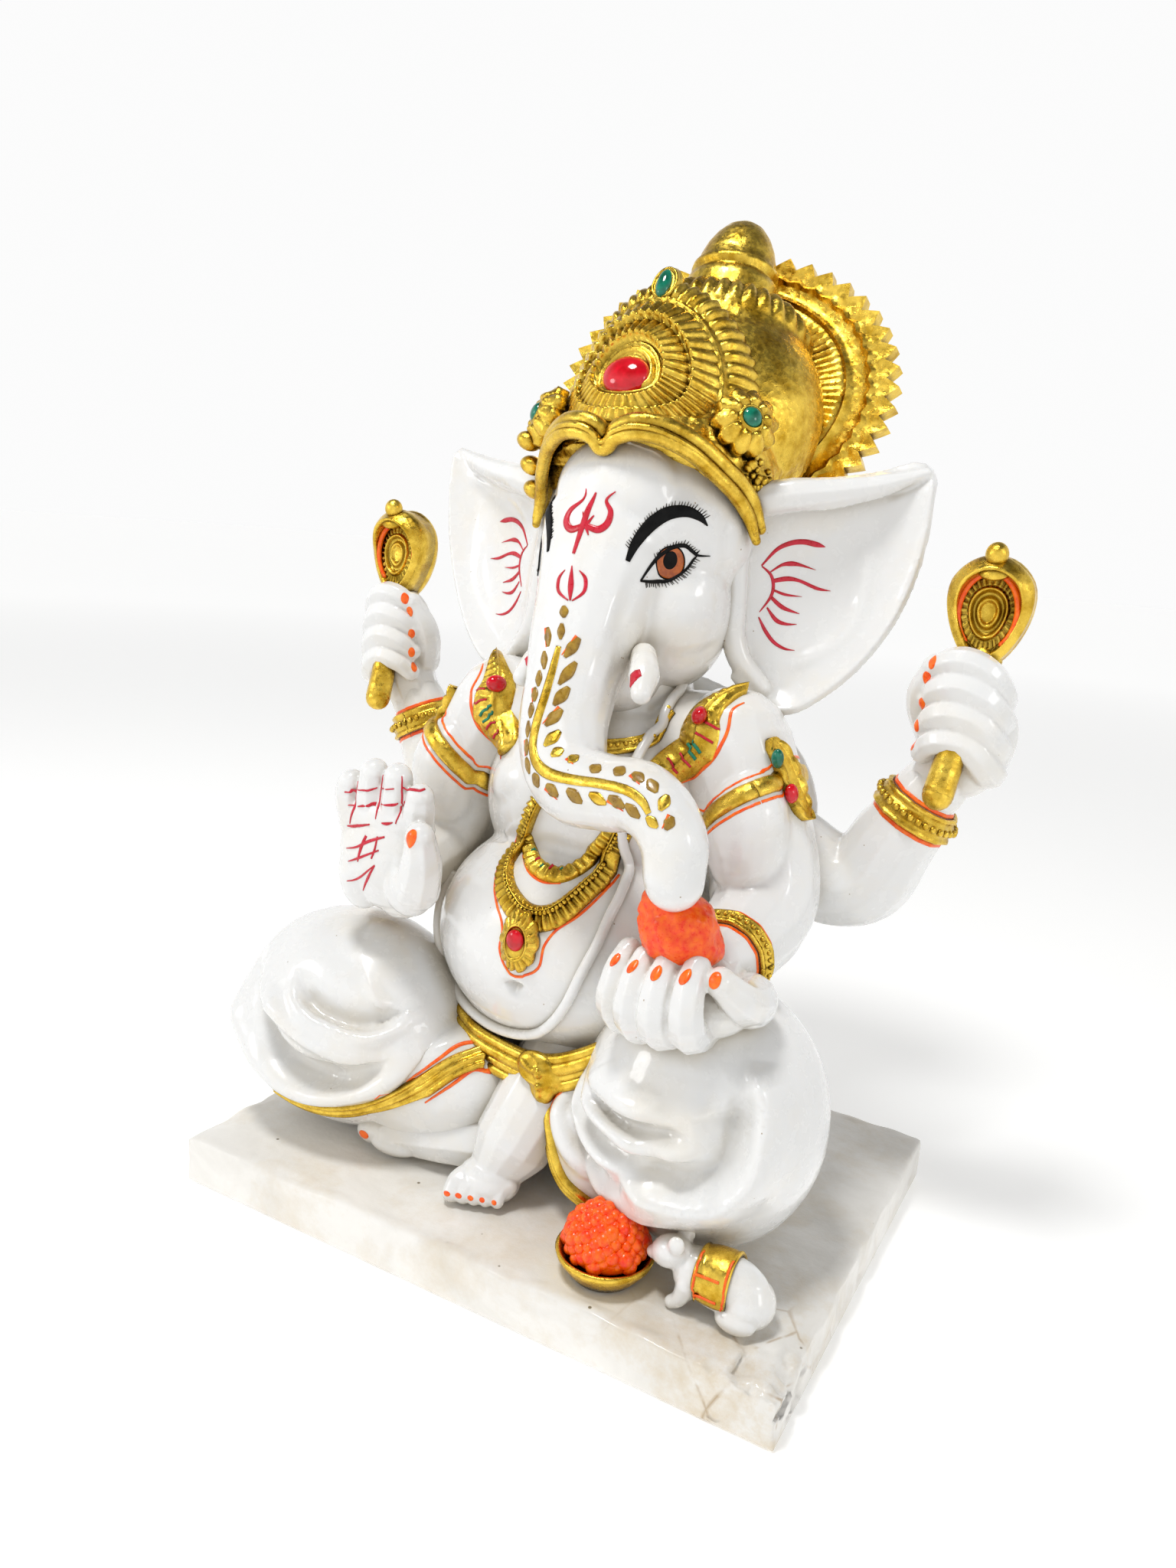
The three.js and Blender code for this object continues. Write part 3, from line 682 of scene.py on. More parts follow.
def makeArms():
    for side, word in bothSides:
        for arm, label in ((frontArm, "front"), (rearArm, "rear")):
            shape = bmesh.new()
            addRope(shape, [mirrorX(point, side) for point in arm["route"]], arm["radii"], 4, 10)
            if label == "front":
                addBall(shape, (side * 60, -2, 113), (15, 15, 14))
                addBall(shape, (side * 55, -10, 140), (13, 13, 20))
            shape = blendShape(shape, bodyLook["voxel"], 5)
            name = f"{label}{word}Arm"
            castPiece(name, shape, f"{label}_{word.lower()}_arm")


raisedFingers = ((-64, 146.5, 5.3), (-55, 151.5, 5.5), (-45.6, 151.5, 5.5), (-36.8, 146.5, 5.3))


def makeRaisedHand():
    shape = bmesh.new()
    addBall(shape, (-49.5, -49, 120), (18.5, 8.4, 18))
    addBall(shape, (-50, -49.5, 131), (18.5, 6.6, 9))
    addBall(shape, (-40, -50, 113), (9, 7.5, 11), (0, -20, 0))
    addBall(shape, (-58.5, -49, 113), (9, 7.2, 13))
    addBall(shape, (-47, -43, 110), (10.5, 10.5, 12))
    for x, top, radius in raisedFingers:
        addRope(shape, [(x * 0.8 - 10, -49, 124), (x, -50.5, 138), (x * 0.99, -51, top - radius)],
                [radius + 0.3, radius, radius * 0.86])
    addRope(shape, [(-37, -50, 112), (-32.5, -54, 121), (-32, -56, 130.5)], [8, 6.6, 4.8])
    shape = blendShape(shape, bodyLook["handVoxel"], 2)
    pressRidge(shape, [(-37, -58, 104), (-42, -58, 112), (-41, -58, 122), (-36, -58, 128)], -0.9, 1.3)
    castPiece("raisedHand", shape, "front_right_hand")


cupFingers = ((38, -52, 98), (46, -57, 99), (54, -59, 100), (62.5, -58, 101))


def makeCuppedHand():
    shape = bmesh.new()
    addBall(shape, (56, -43, 100), (19, 15, 12), (6, 0, 0), 32)
    addRope(shape, [(59, -34, 106), (60, -42, 102)], [11, 11])
    for x, y, z in cupFingers:
        addRope(shape, [(x * 0.8 + 11, y + 13, z - 10), (x, y - 3.5, z - 3), (x * 0.97 + 1.4, y - 3.4, z + 7),
                        (x * 0.94 + 3, y + 1.5, z + 12.5)], [6.2, 5.4, 4.7, 3.9])
    addRope(shape, [(72, -40, 101), (73, -51, 105), (69, -57, 111)], [8, 5.8, 4.4])
    shape = blendShape(shape, bodyLook["handVoxel"], 2)
    castPiece("cuppedHand", shape, "front_left_hand")


fistKnuckles = ((171, 6.0), (179, 6.3), (187, 6.2), (194.5, 5.4))


def makeFists():
    for side, word in bothSides:
        shape = bmesh.new()
        addBall(shape, (side * 107, 28, 181), (12.5, 10, 17.5), steps=32)
        addRope(shape, [(side * 99, 29, 155), (side * 104, 28.5, 166), (side * 107, 28, 176)],
                [10, 10.6, 11.5])
        for z, radius in fistKnuckles:
            addRope(shape, [(side * 115, 30, 164 + (z - 171) * 0.8), (side * 115.5, 22.5, z - 6),
                            (side * 108, 16.6, z + 1.6),
                            (side * 101, 16.4, z + 1.4), (side * 96.5, 20, z - 3)],
                    [radius * 0.8, radius * 0.9, radius * 0.86, radius * 0.78, radius * 0.6])
        addBall(shape, (side * 111, 28, 170), (10, 10.5, 16), (0, side * 20, 0), 32)
        addRope(shape, [(side * 98, 30, 172), (side * 93.5, 24, 184), (side * 97, 19, 194)], [6.4, 5, 4])
        shape = blendShape(shape, bodyLook["handVoxel"], 2)
        name = f"rear{word}Fist"
        castPiece(name, shape, f"rear_{word.lower()}_fist")


hiddenTuskShift = 14    # brings the right tusk in behind the trunk

headLook = {
    "trunk": [(0, -4, 222), (0, -17, 200), (1, -29, 178), (5, -38, 163), (13, -45, 154.5), (27, -50, 154),
              (41, -54, 155), (51, -57, 147.5), (53.5, -58.5, 136)],
    "trunkRadii": [25, 18.5, 14.2, 13.2, 12.2, 11, 10.2, 9.4, 8.4],
}


def makeHead():
    shape = bmesh.new()
    addBall(shape, (4, 12, 226), (34, 34, 36), (0, 0, -8), 48)
    addBall(shape, (2, -8, 236), (22, 17, 19), (0, 0, -8), 32)
    addBall(shape, (18, 4, 204), (18, 20, 26), steps=32)
    addBall(shape, (-12, 7, 204), (17, 20, 26), steps=32)
    addBall(shape, (3, -6, 180), (16, 16, 11), steps=32)
    addBall(shape, (30, 8, 226), (9, 12, 14), steps=24)
    addRope(shape, headLook["trunk"], headLook["trunkRadii"], 6, 12)
    shape = blendShape(shape, bodyLook["voxel"] - 0.1, 7)
    sockets = (((24, -18, 212.5), (30, -12, 222), (34, -4, 223)),
               ((-17, -14, 212), (-22, -7, 222), (-26, 1, 223)))
    for inner, middle, outer in sockets:
        pressRidge(shape, [inner, middle, outer], -1.6, 6.5, tips=0.4)
    pressRidge(shape, [(16, -19, 220), (24, -14, 231), (33, -4, 232)], 1.0, 4.5, tips=0.4)
    pressRidge(shape, [(13, -22, 214), (16, -26, 200), (17, -28, 190), (19, -24, 182)], -1.3, 4.0, tips=0.4)
    pressRidge(shape, [(22, -15, 189), (31, -7, 189), (37, 6, 196)], -1.6, 3.0, tips=0.4)
    pressRidge(shape, [(18, -24, 190), (21, -21, 193), (25, -17, 192)], 1.8, 2.0, tips=0.4)
    smoothShape(shape, 2)
    castPiece("elephantHead", shape, "head_and_trunk", "head")
    for side, word in bothSides:
        shape = bmesh.new()
        shift = 0 if side > 0 else hiddenTuskShift
        addRope(shape, [(side * 20 + shift, -20, 190), (side * 25 + shift, -29, 185),
                        (side * 27 + shift, -34, 180.5)],
                [4.0, 4.8, 3.2], 4)
        shape = blendShape(shape, 0.5, 3)
        castPiece(f"tusk{word}", shape, f"{word.lower()}_tusk")


earLook = {
    "rim": [(33, 10, 238), (46, 13, 242), (60, 19, 244), (74, 25, 247.5), (85, 29, 251), (87, 29, 240),
            (86, 28, 224), (82, 26, 208), (75, 22, 194), (66, 17, 183), (56, 13, 176), (46, 11, 178),
            (39, 10, 186)],
    "root": [(33, 12, 234), (36, 12, 214), (38, 11, 192)],
    "dish": 5.0,
}


def makeEars():
    look = earLook
    for side, word in bothSides:
        sheet = bmesh.new()
        bmesh.ops.create_grid(sheet, x_segments=56, y_segments=30, size=1)
        for vertex in sheet.verts:
            u = (vertex.co.x + 1) / 2
            v = (vertex.co.y + 1) / 2
            rim = Vector(curvePoint(look["rim"], u))
            root = Vector(curvePoint(look["root"], u))
            spot = root.lerp(rim, v)
            hollow = math.sin(math.pi * min(v, 1)) ** 0.8 * look["dish"] * (0.4 + 0.6 * math.sin(math.pi * u))
            spot.y += hollow - 2.2 * max(0, v - 0.72) / 0.28 * (u > 0.36)
            vertex.co = (spot.x * side, spot.y, spot.z)
        bmesh.ops.recalc_face_normals(sheet, faces=sheet.faces[:])
        bmesh.ops.solidify(sheet, geom=sheet.faces[:], thickness=3.2)
        bmesh.ops.recalc_face_normals(sheet, faces=sheet.faces[:])
        addRope(sheet, [mirrorX(point, side) for point in ((32, 12, 236), (46, 14, 240), (60, 20, 242.5),
                                                          (74, 25.5, 246), (84.5, 29, 250))],
                [6.2, 5.4, 4.6, 3.4, 1.6])
        addRope(sheet, [mirrorX(point, side) for point in ((33, 11, 232), (35, 10, 212), (37.5, 10, 192),
                                                          (46, 13, 181))], [4.4, 4, 4, 3.6])
        shape = blendShape(sheet, bodyLook["earVoxel"], 4)
        lip = ((43.6, 12, 226), (50.7, 16, 232), (58, 19, 235.5), (69.8, 23.8, 238.5), (80, 28, 243))
        plateau = ((66, 26, 228), (70, 27.4, 223.6), (70.7, 27.1, 217.4), (70, 25.6, 206.9),
                   (65.8, 23, 198.1),
                   (56.5, 19.3, 190.8), (47, 15, 189.2))
        pressRidge(shape, [mirrorX(point, side) for point in lip], 1.6, 2.2, 2.2, 0.2)
        pressRidge(shape, [mirrorX(point, side) for point in plateau], 1.5, 3.0, 3.0, 0.2)
        smoothShape(shape, 2)
        castPiece(f"ear{word}", shape, f"{word.lower()}_ear")


makeTorso()
makeRightLeg()
makeLeftLeg()
makeFeet()
makeArms()
makeRaisedHand()
makeCuppedHand()
makeFists()
makeHead()
makeEars()
print("white body made")


# The crown

def addShield(shape, sizes, relief, edge, depth, centre, turn, bend=None, rings=50, steps=240):
    # a disc in relief: sizes are its half width and its reach up and down, relief(r, a) is its height,
    # edge(a) grows its rim, and bend is the radius that it is rolled round
    part = spinProfile([(k / rings, 0) for k in range(rings + 1)] + [(1, -1), (0, -1)], steps, 0.0005)
    wide, up, down = sizes
    for vertex in part.verts:
        r = math.hypot(vertex.co.x, vertex.co.y)
        angle = math.atan2(vertex.co.y, vertex.co.x)
        front = vertex.co.z > -0.5
        grown = r * (1 + edge(angle) * min(max((r - 0.86) / 0.14, 0), 1))
        across = grown * math.cos(angle) * wide
        along = grown * math.sin(angle) * (up if math.sin(angle) > 0 else down)
        rise = relief(r, angle) if front else -depth
        if bend:
            rise -= across * across / (2 * bend)
            if along < 0:
                rise += 6.5 * (along / down) ** 2 * (1 - (across / wide) ** 2)
        vertex.co = (across, along, rise)
    bmesh.ops.transform(part, matrix=place(centre, turn), verts=part.verts[:])
    joinShape(shape, part)


def wave(angle, count, sharp=1.0):
    return abs(math.cos(angle * count / 2)) ** sharp


def step(r, low, high):
    # 1 at low falling to 0 at high, and 0 outside
    return (high - r) / (high - low) if low <= r < high else 0.0


def bump(r, middle, width):
    return math.exp(-((r - middle) / width) ** 2)


crown = {
    "lean": 63, "ruby": (1, -3.5, 267.5), "shield": (33, 38, 20), "bend": 33,
    "haloCentre": (1, 61, 275), "halo": (59, 46.5, 46.5), "haloLean": 75, "teeth": 46,
    "dome": (2, 38, 264), "domeSize": (44, 33, 41), "domeLean": 27, "topLump": (3, 48, 286),
    "brow": [(0, -23, 249), (5, -24.5, 251.5), (12, -24, 253), (22, -18, 250.5), (31, -8, 243), (37, 2, 234),
             (40, 5, 226)],
}


def shieldRelief(r, angle):
    flutes = 1.6 * bump(r, 0.24, 0.022) + 1.1 * bump(r, 0.305, 0.016)
    lower = 0.5 + 0.5 * math.sin(angle)
    deep = 0.35 + 0.65 * min(1, lower * 2.2)
    flutes += deep * (step(r, 0.34, 0.55) * 3.0 + (1.5 * wave(angle, 36, 0.8) if 0.36 < r < 0.55 else 0))
    flutes += deep * (step(r, 0.555, 0.76) * 2.8 + (1.6 * wave(angle + 0.05, 44, 0.8)
                                                    if 0.575 < r < 0.76 else 0))
    flutes += 1.8 * bump(r, 0.785, 0.018)
    flutes += (2.2 * wave(angle, 58, 0.7) * math.sin(math.pi * min(max((r - 0.81) / 0.19, 0), 1))
               if r > 0.81 else 0)
    return 7.5 * (1 - r * r) + flutes


def haloRelief(r, angle):
    fan = 0.9 * wave(angle, 90, 0.6) if 0.5 < r < 0.76 else 0
    teeth = 0.8 * (r - 0.9) / 0.1 if r > 0.9 else 0
    return 1.2 + fan + 1.6 * bump(r, 0.785, 0.014) + 1.3 * bump(r, 0.9, 0.012) + teeth


def toothEdge(angle):
    saw = (angle * crown["teeth"] / (2 * math.pi)) % 1
    return 0.075 * (1 - abs(2 * saw - 1))


def petalRelief(r, angle):
    swell = math.sin(math.pi * min(max((r - 0.45) / 0.5, 0), 1))
    petals = 1.5 * wave(angle, 10, 0.6) * swell if r > 0.45 else 0
    return 2.4 * (1 - r ** 4) + petals + 1.1 * bump(r, 0.4, 0.05)


def makeCrown():
    look = crown
    lean = look["lean"]
    shape = bmesh.new()
    addShield(shape, look["shield"], shieldRelief, lambda a: 0.04 * wave(a, 58), 4, look["ruby"],
              (lean, 0, 0),
              look["bend"], rings=60, steps=330)
    medallion = place(look["ruby"], (lean, 0, 0))
    addShield(shape, (5, 7.5, 6), lambda r, a: 2.4 * (1 - r ** 3) + 1.2 * bump(r, 0.8, 0.1), lambda a: 0, 2,
              medallion @ Vector((0, 36, 1)), (lean, 0, 0), rings=16, steps=32)
    makePiece("crownMedallion", shape, leafGilt, ["crown_medallion"])

    shape = bmesh.new()
    addShield(shape, look["halo"], haloRelief, toothEdge, 3.6, look["haloCentre"], (look["haloLean"], 0, 0),
              rings=50, steps=look["teeth"] * 6)
    makePiece("crownHalo", shape, leafGilt, ["crown_halo"], 40)

    shape = bmesh.new()
    addBall(shape, look["dome"], look["domeSize"], (-look["domeLean"], 0, 0), 64)
    addBall(shape, look["topLump"], (33, 27, 20), (-look["domeLean"], 0, 0), 48)
    addBall(shape, (3, 17, 246), (37.5, 36, 25), steps=64)
    shape = blendShape(shape, 0.9, 4)
    cuts = (((0, 0, 238.5), (0, 0.793, 1)), ((0, 0, 237), (0, -0.25, 1)),
            (look["haloCentre"], (0, -0.966, 0.259)))
    for spot, normal in cuts:
        cut = bmesh.ops.bisect_plane(shape, geom=shape.verts[:] + shape.edges[:] + shape.faces[:], dist=0.001,
                                     plane_co=spot, plane_no=normal, clear_inner=True)
        rim = [item for item in cut["geom_cut"] if isinstance(item, bmesh.types.BMEdge)]
        bmesh.ops.holes_fill(shape, edges=rim, sides=0)
    slant = math.radians(look["domeLean"])
    axis = Vector((0, math.sin(slant), math.cos(slant)))
    middle = Vector(look["topLump"])
    for vertex in shape.verts:
        spot = vertex.co
        reach = spot - middle
        up = reach.dot(axis)
        flat = reach - axis * up
        turn = math.atan2(flat.dot(Vector((1, 0, 0)).cross(axis)), flat.x)
        if 2 < up < 17 and flat.length > 14:
            vertex.co += vertex.normal * 2.4 * wave(turn, 36, 0.7) * math.sin(math.pi * (up - 2) / 15)
        if spot.z > 240 and (spot.y < 8 or spot.z < 250):
            vertex.co += vertex.normal * 0.9 * noise.turbulence(spot * 0.22, 3, False)
    shape.normal_update()
    keepSkin("dome", shape)
    makePiece("crownDome", shape, leafGilt, ["crown_dome"])

    shape = bmesh.new()
    addTurned(shape, [(0, -9), (15.6, -9), (15.4, -2), (14.8, 0.4), (13.4, 1.2), (13.2, 2.4), (14.4, 3.6),
                      (14.2, 5.2),
                      (12.9, 6.4), (12.6, 9), (11.4, 13), (9.4, 17), (6.8, 20.4), (3.4, 22.8), (0, 23.6)],
              (4, 56, 309.5), (-20, 0, 0), (1.05, 0.95, 1), steps=64)
    makePiece("crownFinial", shape, leafGilt, ["crown_finial"], 60)

    shape = bmesh.new()
    brow = look["brow"]
    whole = [(4 - x, y, z) for x, y, z in reversed(brow[1:])] + [(x + 2, y, z) for x, y, z in brow]
    whole[len(brow) - 1] = (2, -23, 248.5)
    edge = [1.4] + [2.2] * (len(whole) - 2) + [1.4]
    addRope(shape, [(x, y + 2.5, z + 3.6) for x, y, z in whole], [r * 1.25 for r in edge], 3, 10)
    addRope(shape, [(x, y, z) for x, y, z in whole], edge, 3, 10)
    addRope(shape, [(x, y - 1.6, z + 1.8) for x, y, z in whole], [r * 0.45 for r in edge], 2, 10)
    for k in range(90):
        side = random.choice((-1, 1))
        spot = Vector((2 + side * random.uniform(33, 44), random.uniform(0, 18), random.uniform(236, 252)))
        on, normal = nearestOn("dome", spot)
        addBall(shape, on + normal * 0.4, (random.uniform(1.0, 1.9),) * 3, steps=8)
    for k in range(3):
        addBall(shape, (-38 + k * 0.6, 0.5 + 2 * k, 252 - 7.5 * k), (4.2, 4.2, 3.1), (0, 20, 0), 20)
    makePiece("crownBrowBand", shape, leafGilt, ["crown_brow_band"])

    for side, word in bothSides:
        shape = bmesh.new()
        spot = (2 + side * 35, 0.5, 260)
        addShield(shape, (8.6, 8.6, 8.6), petalRelief, lambda a: 0.2 * wave(a, 10), 4, spot,
                  (70, 0, side * 48),
                  rings=24, steps=100)
        front = place(spot, (70, 0, side * 48))
        makePiece(f"crownRosette{word}", shape, leafGilt, [f"crown_rosette_{word.lower()}"])
        shape = bmesh.new()
        addBall(shape, front @ Vector((0, 0, 2.8)), (3.1, 3.1, 1.8), (70, 0, side * 48), 24)
        makePiece(f"rosetteEmerald{word}", shape, greenStone, [f"rosette_emerald_{word.lower()}"])
    shape = bmesh.new()
    addBall(shape, medallion @ Vector((0, 0, 7.2)), (7.6, 6.4, 3.6), (lean, 0, 0), 40)
    makePiece("crownRuby", shape, redStone, ["crown_ruby"])
    shape = bmesh.new()
    addBall(shape, medallion @ Vector((0, 36, 3.2)), (2.5, 5, 1.8), (lean, 0, 0), 24)
    makePiece("crownTopEmerald", shape, greenStone, ["crown_top_emerald"])


makeCrown()
print("crown made")


# Gilt clothing and jewellery

def ridged(base, rise, count):
    return lambda u, v: base * math.sqrt(max(1 - v ** 6,
                                             0.0)) + rise * (0.5 + 0.5 * math.cos(math.pi * count * v))


def ribbed(base, rise, count):
    return lambda u, v: (base + rise * (0.5 + 0.5 * math.cos(2 * math.pi * count * u))) * math.sqrt(
        max(1 - v ** 4, 0))


def domed(base):
    return lambda u, v: base * (1 - abs(v) ** 2)


def paint(shape, skin, points, widths, lift=0.22, shift=0.0, across=4, spacing=0.5):
    if isinstance(widths, (int, float)):
        widths = [widths] * len(points)
    layBand(shape, skin, points, widths, lambda u, v: lift * (1 - 0.5 * v * v), across, spacing, 0.4, shift)


def beadRow(shape, skin, points, spacing, radius, lift, shift=0.0):
    stops = route(points, spacing)
    for k, stop in enumerate(stops):
        spot, normal = nearestOn(skin, stop)
        ahead = stops[min(k + 1, len(stops) - 1)] - stops[max(k - 1, 0)]
        aside = ahead.cross(normal).normalized() * shift
        addBall(shape, spot + aside + normal * lift, (radius,) * 3, steps=8)


def setStone(shape, skin, spot, radii, lift=0.0):
    # a cabochon set square on a skin
    at, normal = nearestOn(skin, Vector(spot))
    aim = normal.to_track_quat("Z", "Y").to_euler()
    addBall(shape, at + normal * lift, radii, [math.degrees(angle) for angle in aim], 24)


def closed(points):
    return [*points, points[0]]


def layCord(shape, skin, points, radius, sink=0.3):
    stops = [nearestOn(skin, stop) for stop in route(points, 3)]
    addRope(shape, [spot + normal * (radius - sink) for spot, normal in stops], [radius] * len(stops), 3, 3)


for _, word in bothSides:
    skins[f"shoulder{word}"] = [skins["torso"], skins[f"front{word}Arm"]]
skins["wristLeft"] = [skins["frontLeftArm"], skins["cuppedHand"]]
skins["wristRight"] = [skins["frontRightArm"], skins["raisedHand"]]

hemRight = [(-6, -42, 63), (-17, -44, 59), (-23, -51, 53), (-30.5, -54.5, 45.5), (-40, -57, 38.5),
            (-53, -58.5, 32.5),
            (-65, -60, 30.5), (-77, -58, 31), (-88, -50, 36)]
hemLeft = [(14, -43, 65), (11, -41, 54), (13, -45, 45), (16, -47.5, 36.5), (21, -47.5, 30), (28, -46.5, 26),
           (35, -41, 21.5)]
beltRun = [(-40, -24, 67), (-24, -35, 61), (-8, -40, 59.5), (8, -42, 60), (22, -42, 66), (36, -38, 76)]


draperyLook = {
    "rightWidths": [8.5, 8.5, 8.5, 8.8, 8.6, 8, 7.4, 6, 3],
    "leftWidths": [5, 5.6, 6.4, 6.6, 6.6, 6, 4],
    "beltCords": (2.0, 2.5, 1.7, 2.2),
    "threadRadius": 1.7,
}


def makeDrapery():
    look = draperyLook
    shape = bmesh.new()
    layBand(shape, "rightLeg", hemRight, look["rightWidths"], ridged(1.5, 1.0, 3), 18,
            1.2, 4, 0, 0, 0.22)
    makePiece("hemRight", shape, smoothGilt, ["right_hem"])
    shape = bmesh.new()
    layBand(shape, "leftLeg", hemLeft, look["leftWidths"], ridged(1.4, 0.9, 3), 18, 1.2, 1.5)
    makePiece("hemLeft", shape, smoothGilt, ["left_hem"])
    shape = bmesh.new()
    for k, radius in enumerate(look["beltCords"]):
        addRope(shape, [(x, y - 0.6 * k * (1 - k / 3.4), z + 4.4 - 3.0 * k) for x, y, z in beltRun],
                [radius] * 6, 3, 8)
    makePiece("waistBelt", shape, smoothGilt, ["waist_belt"])
    shape = bmesh.new()
    addBall(shape, (9.5, -43.5, 61), (9, 3.2, 6), (0, 24, 6), 32)
    addBall(shape, (10.5, -44, 56), (4.5, 2.8, 5), (0, 0, 0), 24)
    shape = blendShape(shape, 0.5, 3)
    for shift in (-2, 2.2):
        pressRidge(shape, [(1, -46, 63 + shift), (10, -47, 60 + shift), (18, -46, 63 + shift)], 0.9, 0.9)
    pressRidge(shape, [(9, -47, 67), (10.2, -47.5, 60), (10.5, -47, 52)], 1.5, 1.0)
    makePiece("beltKnot", shape, smoothGilt, ["belt_knot"])
    shape = bmesh.new()
    layCord(shape, "torso", [(24, 4, 182), (24, -6, 174), (23, -16, 167), (20, -18, 158), (19, -24, 146),
                             (21, -25, 134),
                             (23, -23, 126), (24.4, -30, 119), (24.5, -37, 113), (23.5, -42, 105),
                             (21, -45, 97),
                             (17, -46, 86), (11, -45, 77), (4, -43, 71.5), (-10, -41, 66.5), (-26, -36, 67),
                             (-37, -28, 74), (-43, -24, 84), (-46, -20, 96), (-46, -16, 106)],
            look["threadRadius"])
    makePiece("sacredThread", shape, whiteResin, ["sacred_thread"])


longRun = [(-8, -27, 142), (-12, -29, 133), (-15, -32, 125), (-10.8, -41, 117), (-0.7, -47.5, 112),
           (9, -46, 112.8),
           (15.4, -39, 119.5), (19.4, -30, 129), (22, -25, 140)]
shortRun = [(-13, -27, 131), (-9.6, -29, 126), (-4, -34, 123.2), (2.3, -36, 122), (7.2, -34.5, 122.6),
            (10, -30, 125),
            (14, -26.5, 131), (17, -24, 138)]
collarRun = [(-26, -4, 172), (-20, -14, 163), (-8, -20, 159.5), (8, -20, 159.3), (20, -14.5, 162.5),
             (26, -4, 170)]
padRun = [(47, 3, 182), (40, -8, 180), (36, -14.5, 175), (36.5, -17.4, 167.6), (33, -19.5, 160),
          (28, -21.5, 153)]


necklaceLook = {
    "longWidths": [3.8, 4.2, 4.8, 7.2, 8.4, 8.2, 7.2, 6.8, 6.6],
    "longRibs": 40,
    "shortWidths": [3, 5, 6, 6.2, 6, 5.6, 5, 4],
    "shortRibs": 15,
    "collarWidths": [4, 4.8, 5, 5, 4.8, 4],
    "padWidths": [2, 8, 13.5, 16, 14.5, 6],
}


def makeNecklaces():
    look = necklaceLook
    shape = bmesh.new()
    layBand(shape, "torso", longRun, look["longWidths"], ribbed(1.3, 1.1, look["longRibs"]),
            10, 0.4, 1.5)
    beadRow(shape, "torso", longRun, 1.5, 0.85, 2.0, -1.2)
    layBand(shape, "torso", longRun, [1.3] * 9, domed(2.9), 5, 0.9, 1.5, -2.0)
    addShield(shape, (5.6, 9, 8.6), lambda r, a: 2.6 * (1 - r ** 4) + 0.9 * bump(r, 0.62, 0.06) + (
        0.7 * wave(a, 18, 0.6) if r > 0.7 else 0), lambda a: 0.12 * wave(a, 10), 3, (1.5, -49.4, 103.5),
              (84, 0, 6),
        rings=30, steps=108)
    makePiece("longNecklace", shape, leafGilt, ["long_necklace"])
    shape = bmesh.new()
    addBall(shape, (1.6, -52, 104.6), (2.9, 1.8, 3.4), steps=24)
    makePiece("pendantRuby", shape, redStone, ["pendant_ruby"])
    shape = bmesh.new()
    layBand(shape, "torso", shortRun, look["shortWidths"], ribbed(1.3, 0.9, look["shortRibs"]), 8, 0.5, 1.5)
    makePiece("shortNecklace", shape, leafGilt, ["short_necklace"])
    shape = bmesh.new()
    layBand(shape, "torso", collarRun, look["collarWidths"], ridged(1.5, 0.8, 2), 12, 0.9, 1.5)
    beadRow(shape, "torso", collarRun, 2.2, 0.9, 2.0)
    makePiece("collar", shape, leafGilt, ["collar_band"])
    for side, word in bothSides:
        shape = bmesh.new()
        run = [mirrorX(point, side) for point in padRun]
        layBand(shape, f"shoulder{word}", run, look["padWidths"], lambda u, v: (
            2.6 * math.sqrt(max(1 - v ** 6, 0)) + 0.9 * math.exp(-((v + 0.15) / 0.07) ** 2)
            + 0.5 * math.exp(-((abs(v) - 0.86) / 0.06) ** 2)
            + 0.3 * math.cos(30 * math.pi * u) * (0.1 < v < 0.8)), 30, 0.5, 4.5, 0, 3, 0.42)
        keepSkin(f"pad{word}", shape)
        makePiece(f"shoulderPad{word}", shape, leafGilt, [f"shoulder_pad_{word.lower()}"])
        shape = bmesh.new()
        setStone(shape, f"pad{word}", (side * 35.5, -16.5, 175.5), (3.6, 2.9, 2.3))
        makePiece(f"shoulderRuby{word}", shape, redStone, [f"shoulder_ruby_{word.lower()}"])


armRingLook = {
    "armletWidth": 5.8,
    "frontBangleWidth": 5.4,
    "rearBangleWidth": 8.4,
    "ringPoints": 14,
}


def armletRun(side):
    return closed(ring((side * 51, 0, 148), (side * 0.6, -0.08, -0.78), (20, 20),
                       armRingLook["ringPoints"], 2.5))


def frontWristRun(side):
    return closed(ring((side * 60, -29.5, 108), (0, -14, -2), (14, 14), armRingLook["ringPoints"]))


def rearWristRun(side):
    return closed(ring((side * 95.5, 29.3, 149), (side * 8, 0, 16), (14, 14), armRingLook["ringPoints"]))


